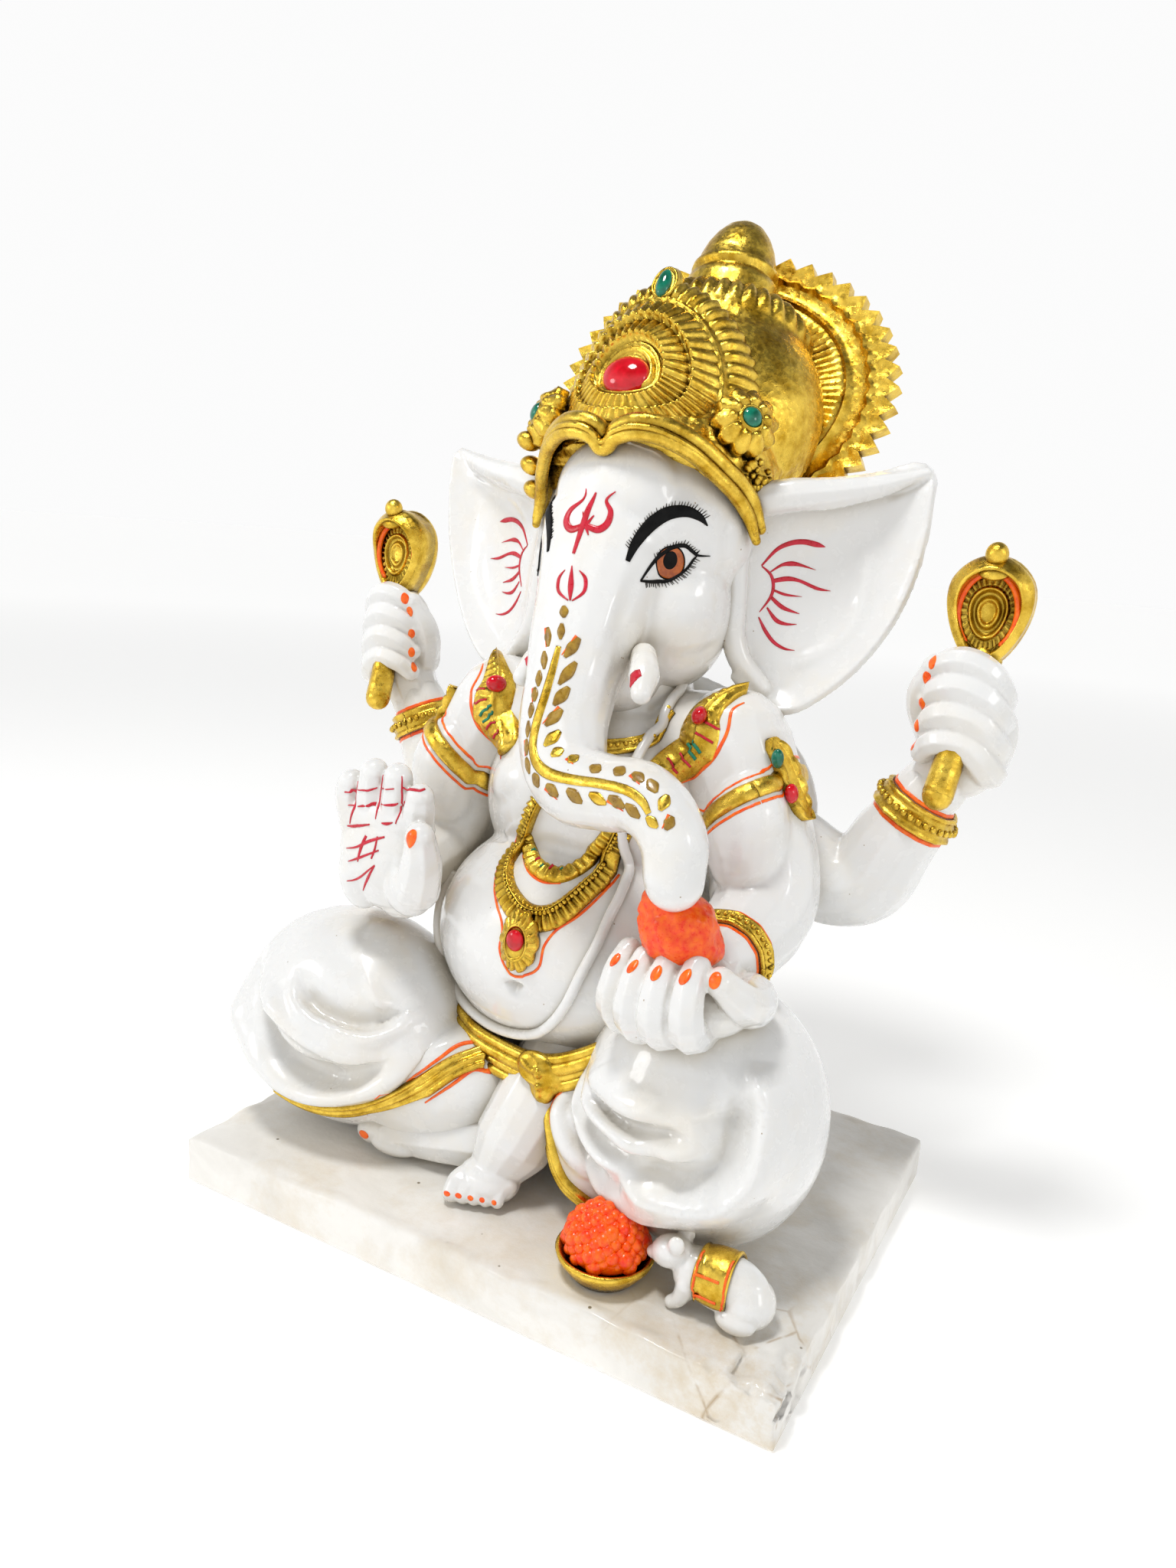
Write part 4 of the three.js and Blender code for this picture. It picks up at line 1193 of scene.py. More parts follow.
def makeArmRings():
    look = armRingLook
    for side, word in bothSides:
        low = word.lower()
        shape = bmesh.new()
        band = armletRun(side)
        layBand(shape, f"front{word}Arm", band, [look["armletWidth"]] * len(band), ridged(1.3, 0.35, 1),
                10, 1.2, 1.4)
        plaque = [mirrorX(p, side) for p in ((57, -7, 169), (61, -4.5, 164.5), (65, -4, 158),
                                             (68, -3, 151.5), (69, 0, 145))]
        layBand(shape, f"front{word}Arm", plaque, [4.4, 8, 9, 8, 4], lambda u, v: (
            2.2 + 1.0 * abs(math.cos(5 * math.pi * u)) * (abs(v) > 0.4)
            + 0.7 * math.exp(-((abs(v) - 0.8) / 0.1) ** 2)) * math.sqrt(max(1 - v ** 4, 0)), 20, 0.4, 1.5,
                0, 2)
        keepSkin(f"armlet{word}", shape)
        makePiece(f"armlet{word}", shape, leafGilt, [f"armlet_{low}"])
        run = frontWristRun(side)
        skin = f"wrist{word}"
        shape = bmesh.new()
        layBand(shape, skin, run, [look["frontBangleWidth"]] * len(run), ridged(1.2, 0.9, 2), 12, 0.8, 1.4)
        beadRow(shape, skin, run, 2.3, 0.85, 1.9)
        makePiece(f"frontBangle{word}", shape, leafGilt, [f"bangle_front_{low}"])
        run = rearWristRun(side)
        skin = f"rear{word}Arm"
        shape = bmesh.new()
        layBand(shape, skin, run, [look["rearBangleWidth"]] * len(run), ridged(1.2, 1.1, 2), 16, 0.8, 1.4)
        beadRow(shape, skin, run, 2.8, 1.2, 2.2)
        makePiece(f"rearBangle{word}", shape, leafGilt, [f"bangle_rear_{low}"])
    shape = bmesh.new()
    setStone(shape, "armletLeft", (68.4, -8, 154.3), (2.4, 3.0, 1.8), 0.9)
    makePiece("armletRuby", shape, redStone, ["armlet_ruby"])
    shape = bmesh.new()
    setStone(shape, "armletLeft", (62.5, -9, 164.3), (1.9, 3.0, 1.6), 0.9)
    makePiece("armletEmerald", shape, greenStone, ["armlet_emerald"])


emblemLook = {
    "centre": (108.5, 25.5, 211),
    "size": (12.5, 15.5, 17),
    "handleRadii": [5.5, 4.8, 4.4, 4.6],
}


def emblemRelief(r, angle):
    top = max(0, math.sin(angle))
    hood = (2.4 + 5.0 * top) * min(max((r - 0.68) / 0.08, 0),
                                   1) * math.sqrt(max(1 - max(r - 0.8, 0) / 0.2 * 0.9, 0.05))
    inner = 1.8 * bump(r, 0.44, 0.05) + 1.2 * bump(r, 0.24, 0.05)
    lines = 1.1 * wave(angle, 30, 2) if 0.52 < r < 0.68 else 0
    return 1.0 + hood + inner + lines


def makeEmblems():
    look = emblemLook
    for side, word in bothSides:
        shape = bmesh.new()
        centre = mirrorX(look["centre"], side)
        addShield(shape, look["size"], emblemRelief, lambda a: 0.05 * math.sin(a), 6, centre,
                  (86, 0, side * 3), rings=50, steps=96)
        addBall(shape, (side * 108.5, 32, 211), (12.4, 7.4, 16.6), steps=40)
        for vertex in shape.verts:
            high = min(max((vertex.co.z - 196) / 24, 0), 1)
            vertex.co.x = centre[0] + (vertex.co.x - centre[0]) * (0.72 + 0.34 * high)
        addBall(shape, (side * 109, 21.5, 227.6), (3.3, 3.3, 3.6), steps=24)
        addTurned(shape, [(0, -2), (5.2, -2), (5.4, -1), (3.8, 0.4), (0, 1)], (side * 109, 21.8, 225),
                  (40, 0, 0), steps=28)
        addRope(shape, [(side * 108.8, 27, 197), (side * 107.5, 21, 182), (side * 105.5, 15, 167),
                        (side * 104.5, 11, 157.5)],
                look["handleRadii"], 4)
        makePiece(f"emblem{word}", shape, leafGilt, [f"emblem_{word.lower()}"])


makeDrapery()
makeNecklaces()
makeArmRings()
makeEmblems()
print("gilt work made")


# Sweets and the mouse

modakLook = {"voxel": 0.6, "lumps": 0.9, "crumbs": 0.35}


def makeModak():
    look = modakLook
    shape = bmesh.new()
    addBall(shape, (53.5, -52.5, 121), (11.6, 9.4, 11), steps=32)
    addBall(shape, (50, -54, 127), (7.5, 6.5, 7.5), (0, 20, 0), 24)
    addBall(shape, (60, -51, 117), (6.5, 7, 6), steps=24)
    shape = blendShape(shape, look["voxel"], 4)
    for vertex in shape.verts:
        crumb = look["lumps"] * noise.noise(vertex.co * 0.2) + look["crumbs"] * noise.noise(vertex.co * 0.6)
        vertex.co += vertex.normal * crumb
    makePiece("modak", shape, orangePaint, ["modak"])


laddooLook = {"count": 120, "small": 1.6, "large": 2.9, "turn": 2.399963, "heap": 11, "low": 23.5, "rise": 12}


def makePlateOfLaddoos():
    look = laddooLook
    shape = bmesh.new()
    addTurned(shape, [(0, -0.2), (9.5, -0.2), (11.5, 2.2), (14.0, 5.4), (14.6, 7.4), (13.6, 7.8),
                      (11.2, 4.6), (8, 3.2), (0, 3)],
              (44.5, -60.5, 16.3), steps=64)
    makePiece("offeringPlate", shape, smoothGilt, ["plate"])
    shape = bmesh.new()
    addBall(shape, (44.5, -60, 25), (11.5, 11.5, 6.5), steps=32)
    addBall(shape, (43.5, -58, 29), (8.5, 8.5, 7), steps=24)
    for k in range(look["count"]):
        angle = k * look["turn"]
        high = 1 - k / look["count"]
        reach = look["heap"] * math.sqrt(1 - high * high)
        spot = (44 + reach * math.cos(angle), -59.4 + reach * math.sin(angle),
                look["low"] + look["rise"] * high)
        addBall(shape, spot, (random.uniform(look["small"], look["large"]),) * 3, steps=12)
    makePiece("laddooHeap", shape, orangePaint, ["laddoo_heap"])


mouseLook = {"body": (13.5, 7.5, 8.5), "ear": (2.6, 1.6, 3), "saddleWidth": 10.5}


def makeMouse():
    look = mouseLook
    shape = bmesh.new()
    addBall(shape, (80, -57, 25.5), look["body"])
    addBall(shape, (87, -57, 22.5), (8, 8.2, 7.5))
    addBall(shape, (72, -58, 26), (7, 6.5, 7.5))
    addBall(shape, (64.5, -59.5, 30.5), (6.5, 4.6, 4.8), (0, -24, 0))
    addBall(shape, (59.5, -60, 28.5), (2.4, 2, 2))
    for side in (-1, 1):
        addBall(shape, (67, -59.5 + 3.6 * side, 35), look["ear"], (0, 14, 0), 16)
        addRope(shape, [(71, -58 + 4.4 * side, 24), (69, -58 + 4.6 * side, 19),
                        (67, -58 + 4.6 * side, 17.4)], [3.2, 2.4, 2], 2)
        addBall(shape, (86, -57 + 6 * side, 19.5), (6, 3.2, 3.6), steps=16)
    shape = blendShape(shape, 0.5, 4)
    castPiece("mouse", shape, "mouse")
    shape = bmesh.new()
    angles = [math.pi * k / 8 for k in range(-1, 10)]
    arch = [(78, -57 + 8.4 * math.cos(a), 25.5 + 9 * math.sin(a)) for a in angles]
    layBand(shape, "mouse", arch, [look["saddleWidth"]] * len(arch), lambda u,
            v: 1.1 + 0.5 * (abs(v) > 0.78) * math.sqrt(max(1 - v ** 12, 0)),
            16, 0.8, 1.2)
    keepSkin("saddle", shape)
    makePiece("saddleCloth", shape, smoothGilt, ["saddle_cloth"])


makeModak()
makePlateOfLaddoos()
makeMouse()
print("offerings made")


# Painted marks

def layDisc(shape, skin, centre, up, radii, lift):
    # a round dab of paint that follows the skin
    middle, facing = nearestOn(skin, Vector(centre))
    side = Vector(up).cross(facing).normalized()
    rise = facing.cross(side).normalized()
    disc = bmesh.new()
    inward = {}
    bmesh.ops.create_grid(disc, x_segments=14, y_segments=14, size=1)
    for vertex in disc.verts:
        x, y = vertex.co.x, vertex.co.y
        flatX = x * math.sqrt(1 - y * y / 2)
        flatY = y * math.sqrt(1 - x * x / 2)
        spot, normal = nearestOn(skin, middle + side * flatX * radii[0] + rise * flatY * radii[1])
        vertex.co = spot + normal * (lift - 0.12 * (flatX ** 2 + flatY ** 2))
        inward[vertex.co.to_tuple(4)] = normal
    sinkBack(disc, inward, 0.35)
    joinShape(shape, disc)


def addHairs(shape, skin, points, count, length, width, lean=0.0, first=0.0, last=1.0):
    # short hairs along a painted line
    stops = route(points, 0.4)
    for k in range(count):
        at = first + (last - first) * k / (count - 1)
        index = min(int(at * (len(stops) - 1)), len(stops) - 2)
        spot, normal = nearestOn(skin, stops[index])
        ahead = (stops[index + 1] - stops[index]).normalized()
        away = (ahead.cross(normal) + ahead * lean).normalized()
        reach = length * random.uniform(0.75, 1.1)
        paint(shape, skin, [spot, spot + away * reach * 0.5, spot + away * reach], [width, width * 0.8, 0.08],
              0.3, across=2, spacing=0.5)


eye = {
    "upperLid": [(17.4, -21.3, 211.8), (19, -19, 216.1), (21.1, -16.4, 219.9), (23.6, -14.5, 222.2),
                 (26.2, -11.7, 222.9), (28, -9.4, 221.3), (29.3, -8.3, 220.4), (32, -5.7, 220.5)],
    "lowerLid": [(17.4, -21.3, 211.8), (19.8, -16.9, 211.8), (22.9, -13.7, 212.4), (25.2, -11.9, 214.2),
                 (26.9, -10.1, 216.4), (28.2, -9.1, 219), (29.1, -8.5, 220.4)],
    "iris": (23.2, -14.2, 217.6), "irisSize": (4.3, 4.7),
    "brow": [(14.3, -24.7, 217.2), (15.5, -22.8, 222.4), (18.1, -19.7, 227.9), (21.9, -17.2, 231.5),
             (26.2, -13.9, 232.7), (29.4, -10.5, 231.5), (31.1, -7.9, 229.2)],
    "browWidths": [1.4, 2.9, 3.9, 4.0, 3.4, 2.3, 0.4],
}


def acrossFace(points, side):
    # the other eye mirrors this one about the middle of the face
    return points if side > 0 else [(4.4 - x, y + 1.4, z) for x, y, z in points]


def makeEyes():
    black, brown = bmesh.new(), bmesh.new()
    for side in (-1, 1):
        iris = acrossFace([eye["iris"]], side)[0]
        wide, tall = eye["irisSize"]
        layDisc(black, "head", iris, (0, 0, 1), (wide + 0.45, tall + 0.45), 0.2)
        layDisc(brown, "head", iris, (0, 0, 1), (wide, tall), 0.3)
        layDisc(black, "head", (iris[0] - 0.2 * side, iris[1], iris[2] + 0.8), (0, 0, 1), (2.2, 2.7), 0.42)
        upper = acrossFace(eye["upperLid"], side)
        lower = acrossFace(eye["lowerLid"], side)
        brow = acrossFace(eye["brow"], side)
        paint(black, "head", upper, [0.5, 0.9, 1.2, 1.3, 1.2, 1.0, 0.7, 0.2], 0.5)
        paint(black, "head", lower, [0.6, 1.1, 1.0, 0.85, 0.8, 0.7, 0.3], 0.5)
        paint(black, "head", brow, eye["browWidths"], 0.3, across=6)
        turn = -1 if side > 0 else 1
        addHairs(black, "head", [(x, y, z + 1.0) for x, y, z in brow], 34, 2.2 * turn, 0.3, 0.4 * turn,
                 0.08, 0.96)
        addHairs(black, "head", upper, 20, 1.7 * turn, 0.28, 0.3 * turn, 0.3, 0.85)
        addHairs(black, "head", lower, 26, -2.0 * turn, 0.28, -0.3 * turn, 0.08, 0.95)
    makePiece("blackEyePaint", black, blackPaint)
    makePiece("irisPaint", brown, irisPaint)


forehead = {
    "trident": (
        ([(2.2, -24.8, 236), (0.6, -27, 229), (-0.8, -30, 218)], [0.6, 1.9, 1.1]),
        ([(-1.5, -24.6, 237), (-1.6, -25.4, 233.8), (-5.4, -26, 230.4), (-6.1, -26.6, 227),
          (-3.4, -27.6, 224.9),
          (1.0, -27.6, 226.3)], [0.3, 0.9, 1.7, 2.3, 2.2, 1.6]),
        ([(8.4, -24.4, 236.6), (5.8, -24.8, 234), (7.8, -25.4, 230.8), (7.4, -26.3, 227.3),
          (5.0, -27.1, 225.4),
          (1.4, -27.6, 226.3)], [0.3, 0.9, 1.6, 2.1, 2.2, 1.6]),
        ([(-2.4, -28, 225), (0.8, -28, 226.2), (3.2, -27.5, 229.6)], [0.3, 1.2, 0.4]),
        ([(-0.6, -27, 230.2), (1, -27.4, 226.6), (2.6, -28.2, 223.6)], [0.3, 1.2, 0.3]),
    ),
    "bud": (
        ([(1.6, -34.2, 204.6), (0.6, -32.7, 209), (-0.4, -31.2, 214.5)], [0.5, 1.8, 0.3]),
        ([(1.0, -34.4, 204.6), (-3.2, -33.3, 207), (-4.2, -32, 210.6), (-2.6, -31.4, 213.2)],
         [0.4, 1.0, 1.1, 0.25]),
        ([(2.2, -34.2, 204.6), (5.0, -32.7, 207.4), (4.6, -31.7, 211.2), (2.2, -31.3, 213.4)],
         [0.4, 1.0, 1.1, 0.25]),
    ),
}

trunkPaint = {
    "stripe": [(1.5, -38.8, 191.5), (1.4, -40.7, 186.2), (1.6, -44.5, 178.2), (1.6, -48.3, 170.9),
               (2.6, -51.6, 164),
               (5.4, -54.4, 160), (11, -56.6, 158), (19.1, -58.3, 157.8), (30.2, -60.7, 158.8),
               (39.2, -62.5, 158.8),
               (44.5, -63.6, 157), (47.2, -64.6, 154.4)],
    "stripeWidths": [1.6, 2.2, 2.8, 3.1, 3.2, 3.4, 3.4, 3.0, 2.8, 2.7, 2.4, 1.6],
    "dabs": (
        ((0.1, -35.3, 203), (1.1, -36.1, 199.6), 2.2), ((0.8, -36.7, 198), (1.5, -38, 193.4), 1.8),
        ((6.9, -36.5, 194.4), (4, -39.2, 188.6), 2.6), ((7.5, -38.5, 187.6), (4.7, -42.6, 181), 2.6),
        ((7.7, -42, 180.6), (5.2, -45.5, 175.2), 2.8), ((8, -45.6, 174.6), (5.1, -49.2, 169.6), 2.8),
        ((9.9, -49.1, 169), (7, -52.2, 164.4), 2.8), ((13, -52, 164.6), (10.5, -53.4, 162), 2.8),
        ((-3.9, -36.9, 196.4), (-2, -38.8, 191), 1.9), ((-3.2, -39.2, 189.6), (-1.5, -41.1, 184.6), 1.9),
        ((-3.2, -41.2, 184), (-1.7, -43.2, 179.6), 1.9), ((-3, -43.3, 179.2), (-1.4, -45.2, 175.4), 1.9),
        ((-2.6, -45.6, 175), (-1.2, -47.4, 170.8), 1.9), ((-2, -48, 170), (-0.6, -50, 165.6), 1.9),
        ((-1, -50, 165), (0.8, -52, 160.8), 1.9), ((0.6, -52, 160), (3.4, -54, 156), 2.2),
        ((5.2, -55, 156.4), (8.6, -55.8, 153.4), 2.9), ((11.6, -57, 154.6), (16.4, -58.8, 152.6), 2.7),
        ((19.4, -59, 155), (25, -61, 152.6), 2.9), ((27.4, -61, 155.6), (33.4, -62.6, 154.2), 2.6),
        ((34, -62.6, 156.2), (39.6, -64, 154.6), 2.6), ((39.8, -64, 155.4), (44.8, -65, 153), 2.4),
        ((46.8, -65, 153.6), (50.4, -65.8, 151.6), 2.2),
        ((16, -53.6, 163.6), (19.4, -54.6, 162), 2.9), ((24.6, -56.8, 162.6), (29, -58.2, 161.2), 2.6),
        ((33, -59, 163.8), (37, -60, 162.2), 2.8), ((39.2, -60, 163.6), (43, -61, 161.4), 2.6),
        ((44.2, -60.4, 162.6), (47.4, -61.8, 159.4), 2.6), ((50.6, -61.6, 160), (49.8, -63.6, 155.4), 2.5),
        ((53.4, -63.6, 154.8), (52.6, -65.2, 151.2), 2.3),
    ),
}


def makeFaceMarks():
    red = bmesh.new()
    for path, widths in (*forehead["trident"], *forehead["bud"]):
        paint(red, "head", path, widths, 0.28)
    for side, word in bothSides:
        shift = 0 if side > 0 else hiddenTuskShift
        stroke = [(side * 21.2 + shift, -37, 182.5), (side * 22.6 + shift, -37, 186),
                  (side * 26.5 + shift, -36, 188.5)]
        paint(red, f"tusk{word}", stroke, [1.2, 3.6, 2.4])
    makePiece("redFaceMarks", red, redPaint)
    gold, dabs, glow = bmesh.new(), bmesh.new(), bmesh.new()
    paint(gold, "head", trunkPaint["stripe"], trunkPaint["stripeWidths"], 0.3, across=6)
    for k, (start, end, width) in enumerate(trunkPaint["dabs"]):
        middle = [(a + b) / 2 for a, b in zip(start, end)]
        leaf = gold if k in (6, 7, 19, 22, 23, 28) else dabs
        paint(leaf, "head", [start, middle, end], [width * 0.5, width * 1.35, width * 0.4], 0.3)
        if k % 3 == 2:
            paint(glow, "head", [start, end], [0.9, 0.3], 0.2, width * 0.45)
    makePiece("trunkStripe", gold, smoothGilt)
    makePiece("trunkLeafDabs", dabs, brownGilt)
    return glow


earStrokes = (
    ([(42.7, 12.1, 219), (44, 17.7, 223.8), (47.5, 19.7, 226.2), (51.2, 21.5, 227), (55.1, 23.1, 226.5),
      (57.6, 23.9, 226)], [0.5, 1.1, 1.5, 1.6, 1.6, 0.2]),
    ([(43.3, 17, 217.1), (46, 18.6, 219.4), (48.6, 20, 220.1), (51.3, 21.3, 219.9), (55.7, 23.1, 218.8)],
     [0.4, 0.9, 1.5, 0.9, 0.1]),
    ([(44.3, 17.5, 214.4), (48, 19.5, 215.4), (51.5, 21.2, 215.1), (56.8, 23.3, 213.2), (60.8, 24.6, 212.8)],
     [1.2, 1.5, 1.0, 1.0, 0.1]),
    ([(45, 17.7, 211.5), (48.2, 19.4, 210.5), (52.8, 21.5, 210.3)], [0.7, 0.8, 0.1]),
    ([(44.4, 17.2, 209.3), (47.9, 18.9, 206.5), (52.8, 21, 205)], [1.0, 1.3, 0.2]),
    ([(43.6, 16.5, 206.1), (46.5, 17.8, 202.5), (49.4, 19.1, 201.5), (52.5, 20.5, 201.7)],
     [0.5, 1.3, 0.9, 0.15]),
    ([(44, 11.5, 203.3), (43.8, 15.9, 199.3), (46.8, 17, 195.7), (50.2, 18.2, 193.9), (53.3, 19.2, 193.6)],
     [0.4, 1.1, 1.1, 0.8, 0.1]),
    ([(42.8, 12.2, 218.8), (43.4, 17.1, 216.2), (44.5, 17.5, 213), (44.2, 17.1, 209.5), (44, 11.7, 204.9)],
     [0.4, 0.9, 1.0, 0.9, 0.3]),
)

palmLines = (
    ([(-58, -54.3, 143.1), (-58.2, -54.3, 139.1), (-59, -54.4, 133.7), (-60.4, -54.4, 129)],
     [0.5, 1.1, 1.0, 0.4]),
    ([(-49.7, -54.3, 146.8), (-49.4, -53.9, 142.5), (-49.5, -54, 136.9), (-49.4, -54.3, 132.6)],
     [0.9, 0.9, 0.8, 0.3]),
    ([(-41.3, -53.9, 147.6), (-40.9, -54, 142.9), (-41.1, -54.1, 137.7), (-42.2, -54.1, 132.5)],
     [0.3, 0.6, 0.6, 0.4]),
    ([(-63, -53.1, 138.8), (-59.6, -54.7, 139.7), (-57.8, -54.1, 140.8)], [0.4, 1.1, 0.6]),
    ([(-57.2, -53.4, 140.4), (-52.8, -55, 141.3), (-50.3, -54.5, 142.2)], [0.3, 0.7, 0.3]),
    ([(-48.4, -53.1, 142.2), (-43.3, -55, 143.4)], [0.4, 0.4]),
    ([(-41, -54, 144), (-38.5, -53.2, 143.4), (-35, -53.6, 143.9), (-34, -52.1, 144.4)],
     [0.4, 0.9, 0.9, 0.7]),
    ([(-61.4, -54.6, 134.8), (-58.8, -54.6, 135.3)], [0.3, 0.6]),
    ([(-56.7, -53.1, 135.4), (-50.6, -54.6, 137.3)], [0.5, 1.3]),
    ([(-47.2, -54.1, 137.7), (-43.5, -55, 138.3), (-41.9, -54.5, 138.9)], [0.4, 0.9, 0.4]),
    ([(-40.6, -53.6, 139.6), (-39.1, -53.5, 139.1)], [0.7, 0.5]),
    ([(-61.6, -54.2, 128), (-57.6, -54.2, 128.7), (-51.4, -55, 130.8)], [0.4, 1.0, 0.5]),
    ([(-47, -54.8, 131.9), (-45.1, -54.8, 132), (-43.2, -54.4, 132.7)], [0.4, 1.0, 0.3]),
    ([(-60.5, -55, 121), (-55.8, -56, 122.6), (-50.4, -56.5, 125.7), (-45.3, -56, 127.9)],
     [0.3, 0.7, 1.0, 0.6]),
    ([(-59.5, -55.6, 117), (-54.3, -56.5, 119.5), (-46.7, -56.9, 123.5)], [0.3, 0.8, 0.5]),
    ([(-52.2, -56.1, 126.9), (-53.8, -56.4, 122.5), (-54.8, -56.3, 118.2)], [1.0, 1.1, 0.5]),
    ([(-47.9, -56.3, 127.6), (-48.1, -56.9, 124.1), (-49.2, -57.1, 120.4)], [0.5, 0.7, 0.6]),
    ([(-59.5, -54, 110.6), (-54.6, -55.8, 112.8), (-47.9, -57.1, 118.5)], [0.3, 0.7, 0.4]),
    ([(-47.9, -57.1, 118.4), (-50.8, -56.3, 113.5), (-53.8, -55.2, 108.4)], [0.4, 0.9, 0.3]),
)


def makeEarAndPalmLines():
    red = bmesh.new()
    for side, word in bothSides:
        reach = 0 if side > 0 else 4    # the right ear's strokes run further out
        for path, widths in earStrokes:
            paint(red, f"ear{word}", [mirrorX((x + reach, y - reach / 2, z), side) for x, y, z in path],
                  widths, 0.25)
    for path, widths in palmLines:
        paint(red, "raisedHand", path, widths, 0.25)
    for path in (((39.6, -16, 173.2), (43, -12.5, 170.2)), ((37.6, -17.4, 169.4), (42.4, -13.6, 166.2)),
                 ((32.6, -20, 163.4), (37.2, -16.8, 158)), ((29.4, -21, 162), (33.8, -18, 155.4))):
        for side, word in bothSides:
            paint(red, f"pad{word}", [mirrorX(point, side) for point in path], 0.8, 0.3)
    for spot in ((-3.3, -35, 124.4), (2.6, -36.5, 123.4)):
        paint(red, "torso", [spot, (spot[0] + 0.8, spot[1], spot[2] + 3)], [0.6, 1.8], 2.6)
    makePiece("redMarks", red, redPaint)
    green = bmesh.new()
    for path in (((36.4, -18, 167), (39.6, -15.4, 163)), ((34.4, -19, 165.4), (38.4, -16.2, 160.8))):
        for side, word in bothSides:
            paint(green, f"pad{word}", [mirrorX(point, side) for point in path], 1.0, 0.35)
    for spot in ((-7.4, -30.5, 125.4), (-0.4, -36.5, 123.2), (6, -35.6, 123.4)):
        paint(green, "torso", [spot, (spot[0] + 0.6, spot[1], spot[2] + 2)], [0.6, 1.4], 2.6)
    makePiece("greenMarks", green, greenPaint)


orangeLines = (
    ("torso", [(-11.4, -28.6, 138), (-14, -28.6, 133), (-17.8, -32, 124.2), (-14.6, -41, 115.6),
               (-7, -50, 107), (-6.2, -51.5, 99.5),
               (-2.6, -50.7, 93.6), (2.6, -50.7, 92.6), (8.6, -51.2, 96.6), (9.2, -49, 103.6),
               (11.4, -45.6, 108.4),
               (16.4, -40.6, 113), (20.6, -36.1, 120), (23.4, -29, 127.6)], 0.8),
    ("torso", [(-12, -28, 127.6), (-10, -30.5, 122.8), (-4.4, -35.6, 120.2), (1.6, -37.6, 119),
               (7.2, -36.4, 119.6)], 0.8),
)


def edgeLines(shape, skin, path, offset, width):
    for side in (-1, 1):
        paint(shape, skin, path, width, 0.22, side * offset, spacing=0.8)


def makeOrangeMarks(shape):
    for skin, path, width in orangeLines:
        paint(shape, skin, path, width, spacing=0.8)
    paint(shape, "rightLeg", hemRight[:5], [1.6, 1.4, 1.0, 0.8, 0.5], 0.25, 4.6, spacing=0.8)
    paint(shape, "rightLeg", hemRight[:4], [1.6, 1.4, 1.0, 0.5], 0.25, -4.6, spacing=0.8)
    paint(shape, "leftLeg", hemLeft, [0.8, 1.0, 0.5, 0.5, 0.8, 1.0, 0.4], 0.25, 3.6, spacing=0.8)
    paint(shape, "leftLeg", hemLeft[:3], [1.0, 1.0, 0.3], 0.25, -3.4, spacing=0.8)
    for side, word in bothSides:
        shoulder = f"shoulder{word}"
        rim = [mirrorX(p, side) for p in ((47.5, -4.7, 178.6), (45.4, -8.8, 176.1), (46, -12.4, 169.8),
                                         (43.4, -14.2, 162.1), (38, -14, 155.6), (31, -19, 151))]
        paint(shape, shoulder, rim, [0.5, 0.9, 1.0, 1.2, 0.9, 0.4], spacing=0.8)
        band = armletRun(side)
        paint(shape, f"front{word}Arm", band, 0.9, shift=4.9, spacing=0.8)
        paint(shape, f"front{word}Arm", band, 0.9, shift=-4.4, spacing=0.8)
        edgeLines(shape, f"wrist{word}", frontWristRun(side), 3.4, 1.0)
        edgeLines(shape, f"rear{word}Arm", rearWristRun(side), 5.0, 1.3)
        for z in (169, 176, 183.6, 191.5):
            layDisc(shape, f"rear{word}Fist", (side * 96, 19, z), (0, 0, 1), (1.3, 2.0), 0.25)
        layDisc(shape, f"rear{word}Fist", (side * 97, 15, 195.5), (0, 0, 1), (1.5, 2.2), 0.25)
        angles = [math.radians(degrees) for degrees in range(-50, 231, 14)]
        arch = [(side * 108.5 + 8.3 * math.cos(a), 23.4, 211 + 11.4 * math.sin(a)) for a in angles]
        addRope(shape, arch, [1.0] * len(arch), 1, 2)
    for spot, radii in (((37.6, -58, 110), (1.3, 2.2)), ((45.4, -62, 111), (1.5, 2.3)),
                        ((53.4, -64, 111.6), (1.6, 2.4)),
                        ((61.6, -63, 112.4), (1.7, 2.5)), ((68.5, -62, 113.4), (1.8, 2.8))):
        layDisc(shape, "cuppedHand", spot, (0, 0, 1), radii, 0.25)
    layDisc(shape, "raisedHand", (-32, -60, 131), (0.2, 0, 1), (1.9, 3.2), 0.25)
    layDisc(shape, "tuckedFoot", (-52.5, -52, 22), (1, 0, 0.1), (1.5, 2.2), 0.25)
    for k in range(footLook["toes"]):
        layDisc(shape, "hangingFoot", (-11 + 3.6 * k, -62 + k, 21), (0, 0, 1), (1.3 - 0.1 * k, 0.8), 0.2)
    for x in (74, 82):
        paint(shape, "saddle", [(x, -68, 22), (x, -66, 30), (x, -60, 36)], 0.9, 0.3)
    for z in (24, 31.5):
        paint(shape, "saddle", [(75, -68, z), (81, -68, z)], 0.8, 0.3)
    makePiece("orangeMarks", shape, orangeInk)


makeEyes()
print("eyes painted")
glowDabs = makeFaceMarks()
makeEarAndPalmLines()
makeOrangeMarks(glowDabs)
print("marks painted")


# The stage

stage = {
    "azimuth": 28.0,
    "elevation": 12.3,
    "roll": 4.7,
    "place": (166.2, -323.5, 223.0),
    "lens": 25.875,
    "floor": (0.93, 0.93, 0.92),
    "floorReach": 12,
    "floorDrop": -0.0005,
    "glow": 0.30,
    "farGlow": 0.52,
    "glowFrom": 0.4,
    "glowTo": 2.5,
    "horizon": 0.97,
    "sky": 0.16,
    "fadeLow": 0.42,
    "fadeHigh": 0.75,
}

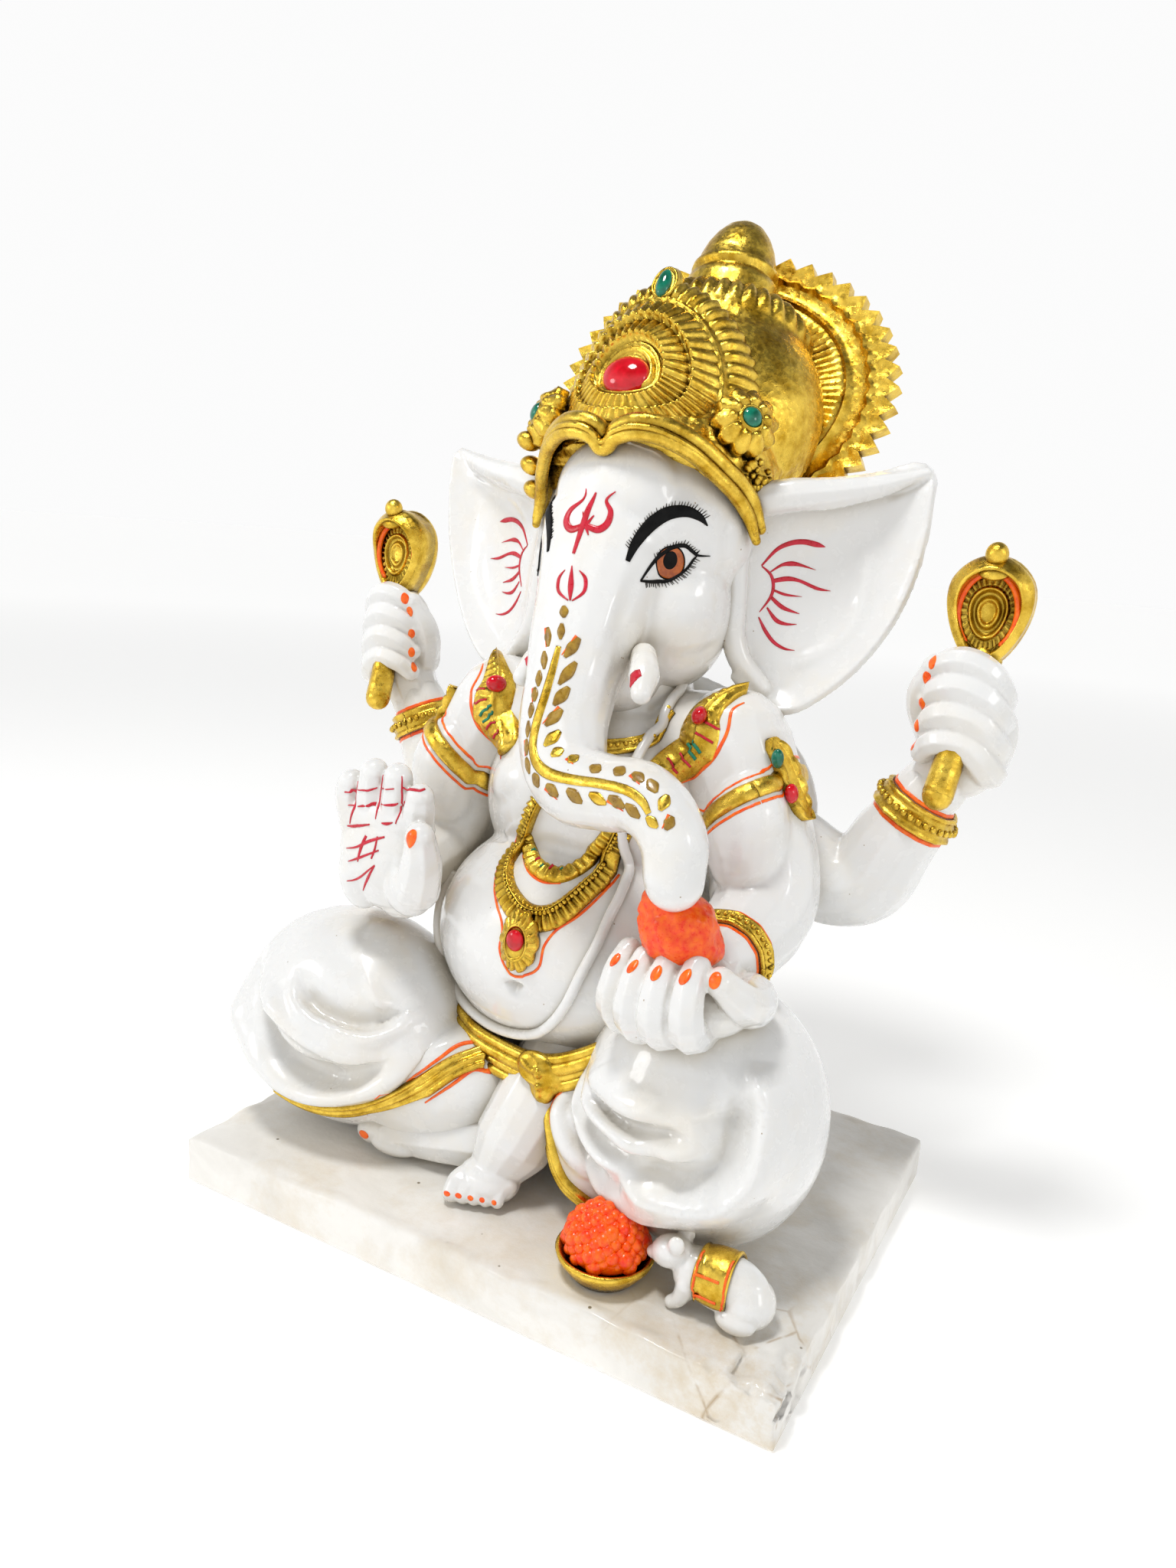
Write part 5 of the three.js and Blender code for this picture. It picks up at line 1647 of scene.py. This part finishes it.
lamps = (
    {"name": "overheadLamp", "spot": (-0.1, -0.3, 1.05), "aim": (0, 0, 0.15), "size": 0.22, "power": 5.6},
    {"name": "leftLamp", "spot": (-0.8, -0.7, 0.5), "aim": (0, 0, 0.15), "size": 0.3, "power": 1.4},
    {"name": "rightLamp", "spot": (0.9, -0.2, 0.5), "aim": (0, 0, 0.18), "size": 0.25, "power": 0.7},
)


def makeCamera(look):
    back, tall, roll = (math.radians(look[key]) for key in ("azimuth", "elevation", "roll"))
    away = Vector((math.sin(back) * math.cos(tall), -math.cos(back) * math.cos(tall), math.sin(tall)))
    right = Vector((math.cos(back), math.sin(back), 0))
    up = away.cross(right)
    level = right * math.cos(roll) + up * math.sin(roll)
    upright = up * math.cos(roll) - right * math.sin(roll)
    lens = bpy.data.cameras.new("camera")
    lens.lens = look["lens"]
    lens.clip_start = 0.01
    camera = bpy.data.objects.new("camera", lens)
    camera.matrix_world = Matrix.Translation(Vector(look["place"]) * metresPerMillimetre) @ Matrix(
        (level, upright, away)).transposed().to_4x4()
    bpy.context.collection.objects.link(camera)
    bpy.context.scene.camera = camera


def makeFloor(look):
    ground = bmesh.new()
    bmesh.ops.create_grid(ground, x_segments=1, y_segments=1, size=look["floorReach"],
                          matrix=Matrix.Translation((0, 0, look["floorDrop"])))
    mesh = bpy.data.meshes.new("floor")
    ground.to_mesh(mesh)
    ground.free()
    floor = bpy.data.objects.new("floor", mesh)
    bpy.context.collection.objects.link(floor)
    paper, shader = startFinish("palePaper", look["floor"], 0.7)
    shader.inputs["Emission Color"].default_value = (1, 1, 1, 1)
    middle = addNode(paper, "VectorMath", {0: addNode(paper, "TexCoord").outputs["Object"]},
                     operation="LENGTH")
    glow = fit(paper, middle.outputs["Value"], look["glowFrom"], look["glowTo"], look["glow"],
               look["farGlow"])
    plug(paper, shader, "Emission Strength", glow)
    mesh.materials.append(paper)


def makeSky(look):
    # white at the horizon, darker overhead so that the gilt has something to mirror
    world = bpy.data.worlds.new("studio")
    world.use_nodes = True
    nodes, links = world.node_tree.nodes, world.node_tree.links
    wall = nodes["Background"]
    wall.inputs["Color"].default_value = (1, 1, 1, 1)
    height = nodes.new("ShaderNodeSeparateXYZ")
    fade = nodes.new("ShaderNodeMapRange")
    for key, name in (("From Min", "fadeLow"), ("From Max", "fadeHigh"), ("To Min", "horizon"),
                      ("To Max", "sky")):
        fade.inputs[key].default_value = look[name]
    links.new(height.inputs[0], nodes.new("ShaderNodeTexCoord").outputs["Generated"])
    links.new(fade.inputs["Value"], height.outputs["Z"])
    links.new(wall.inputs["Strength"], fade.outputs["Result"])
    bpy.context.scene.world = world
    bpy.context.scene.view_settings.view_transform = "Standard"


def addLamp(lamp):
    light = bpy.data.lights.new(lamp["name"], "AREA")
    light.shape = "DISK"
    light.size = lamp["size"]
    light.energy = lamp["power"]
    holder = bpy.data.objects.new(lamp["name"], light)
    holder.location = lamp["spot"]
    facing = Vector(lamp["aim"]) - Vector(lamp["spot"])
    holder.rotation_euler = facing.to_track_quat("-Z", "Y").to_euler()
    bpy.context.collection.objects.link(holder)


makeCamera(stage)
makeFloor(stage)
makeSky(stage)
for lamp in lamps:
    addLamp(lamp)
print("stage set")
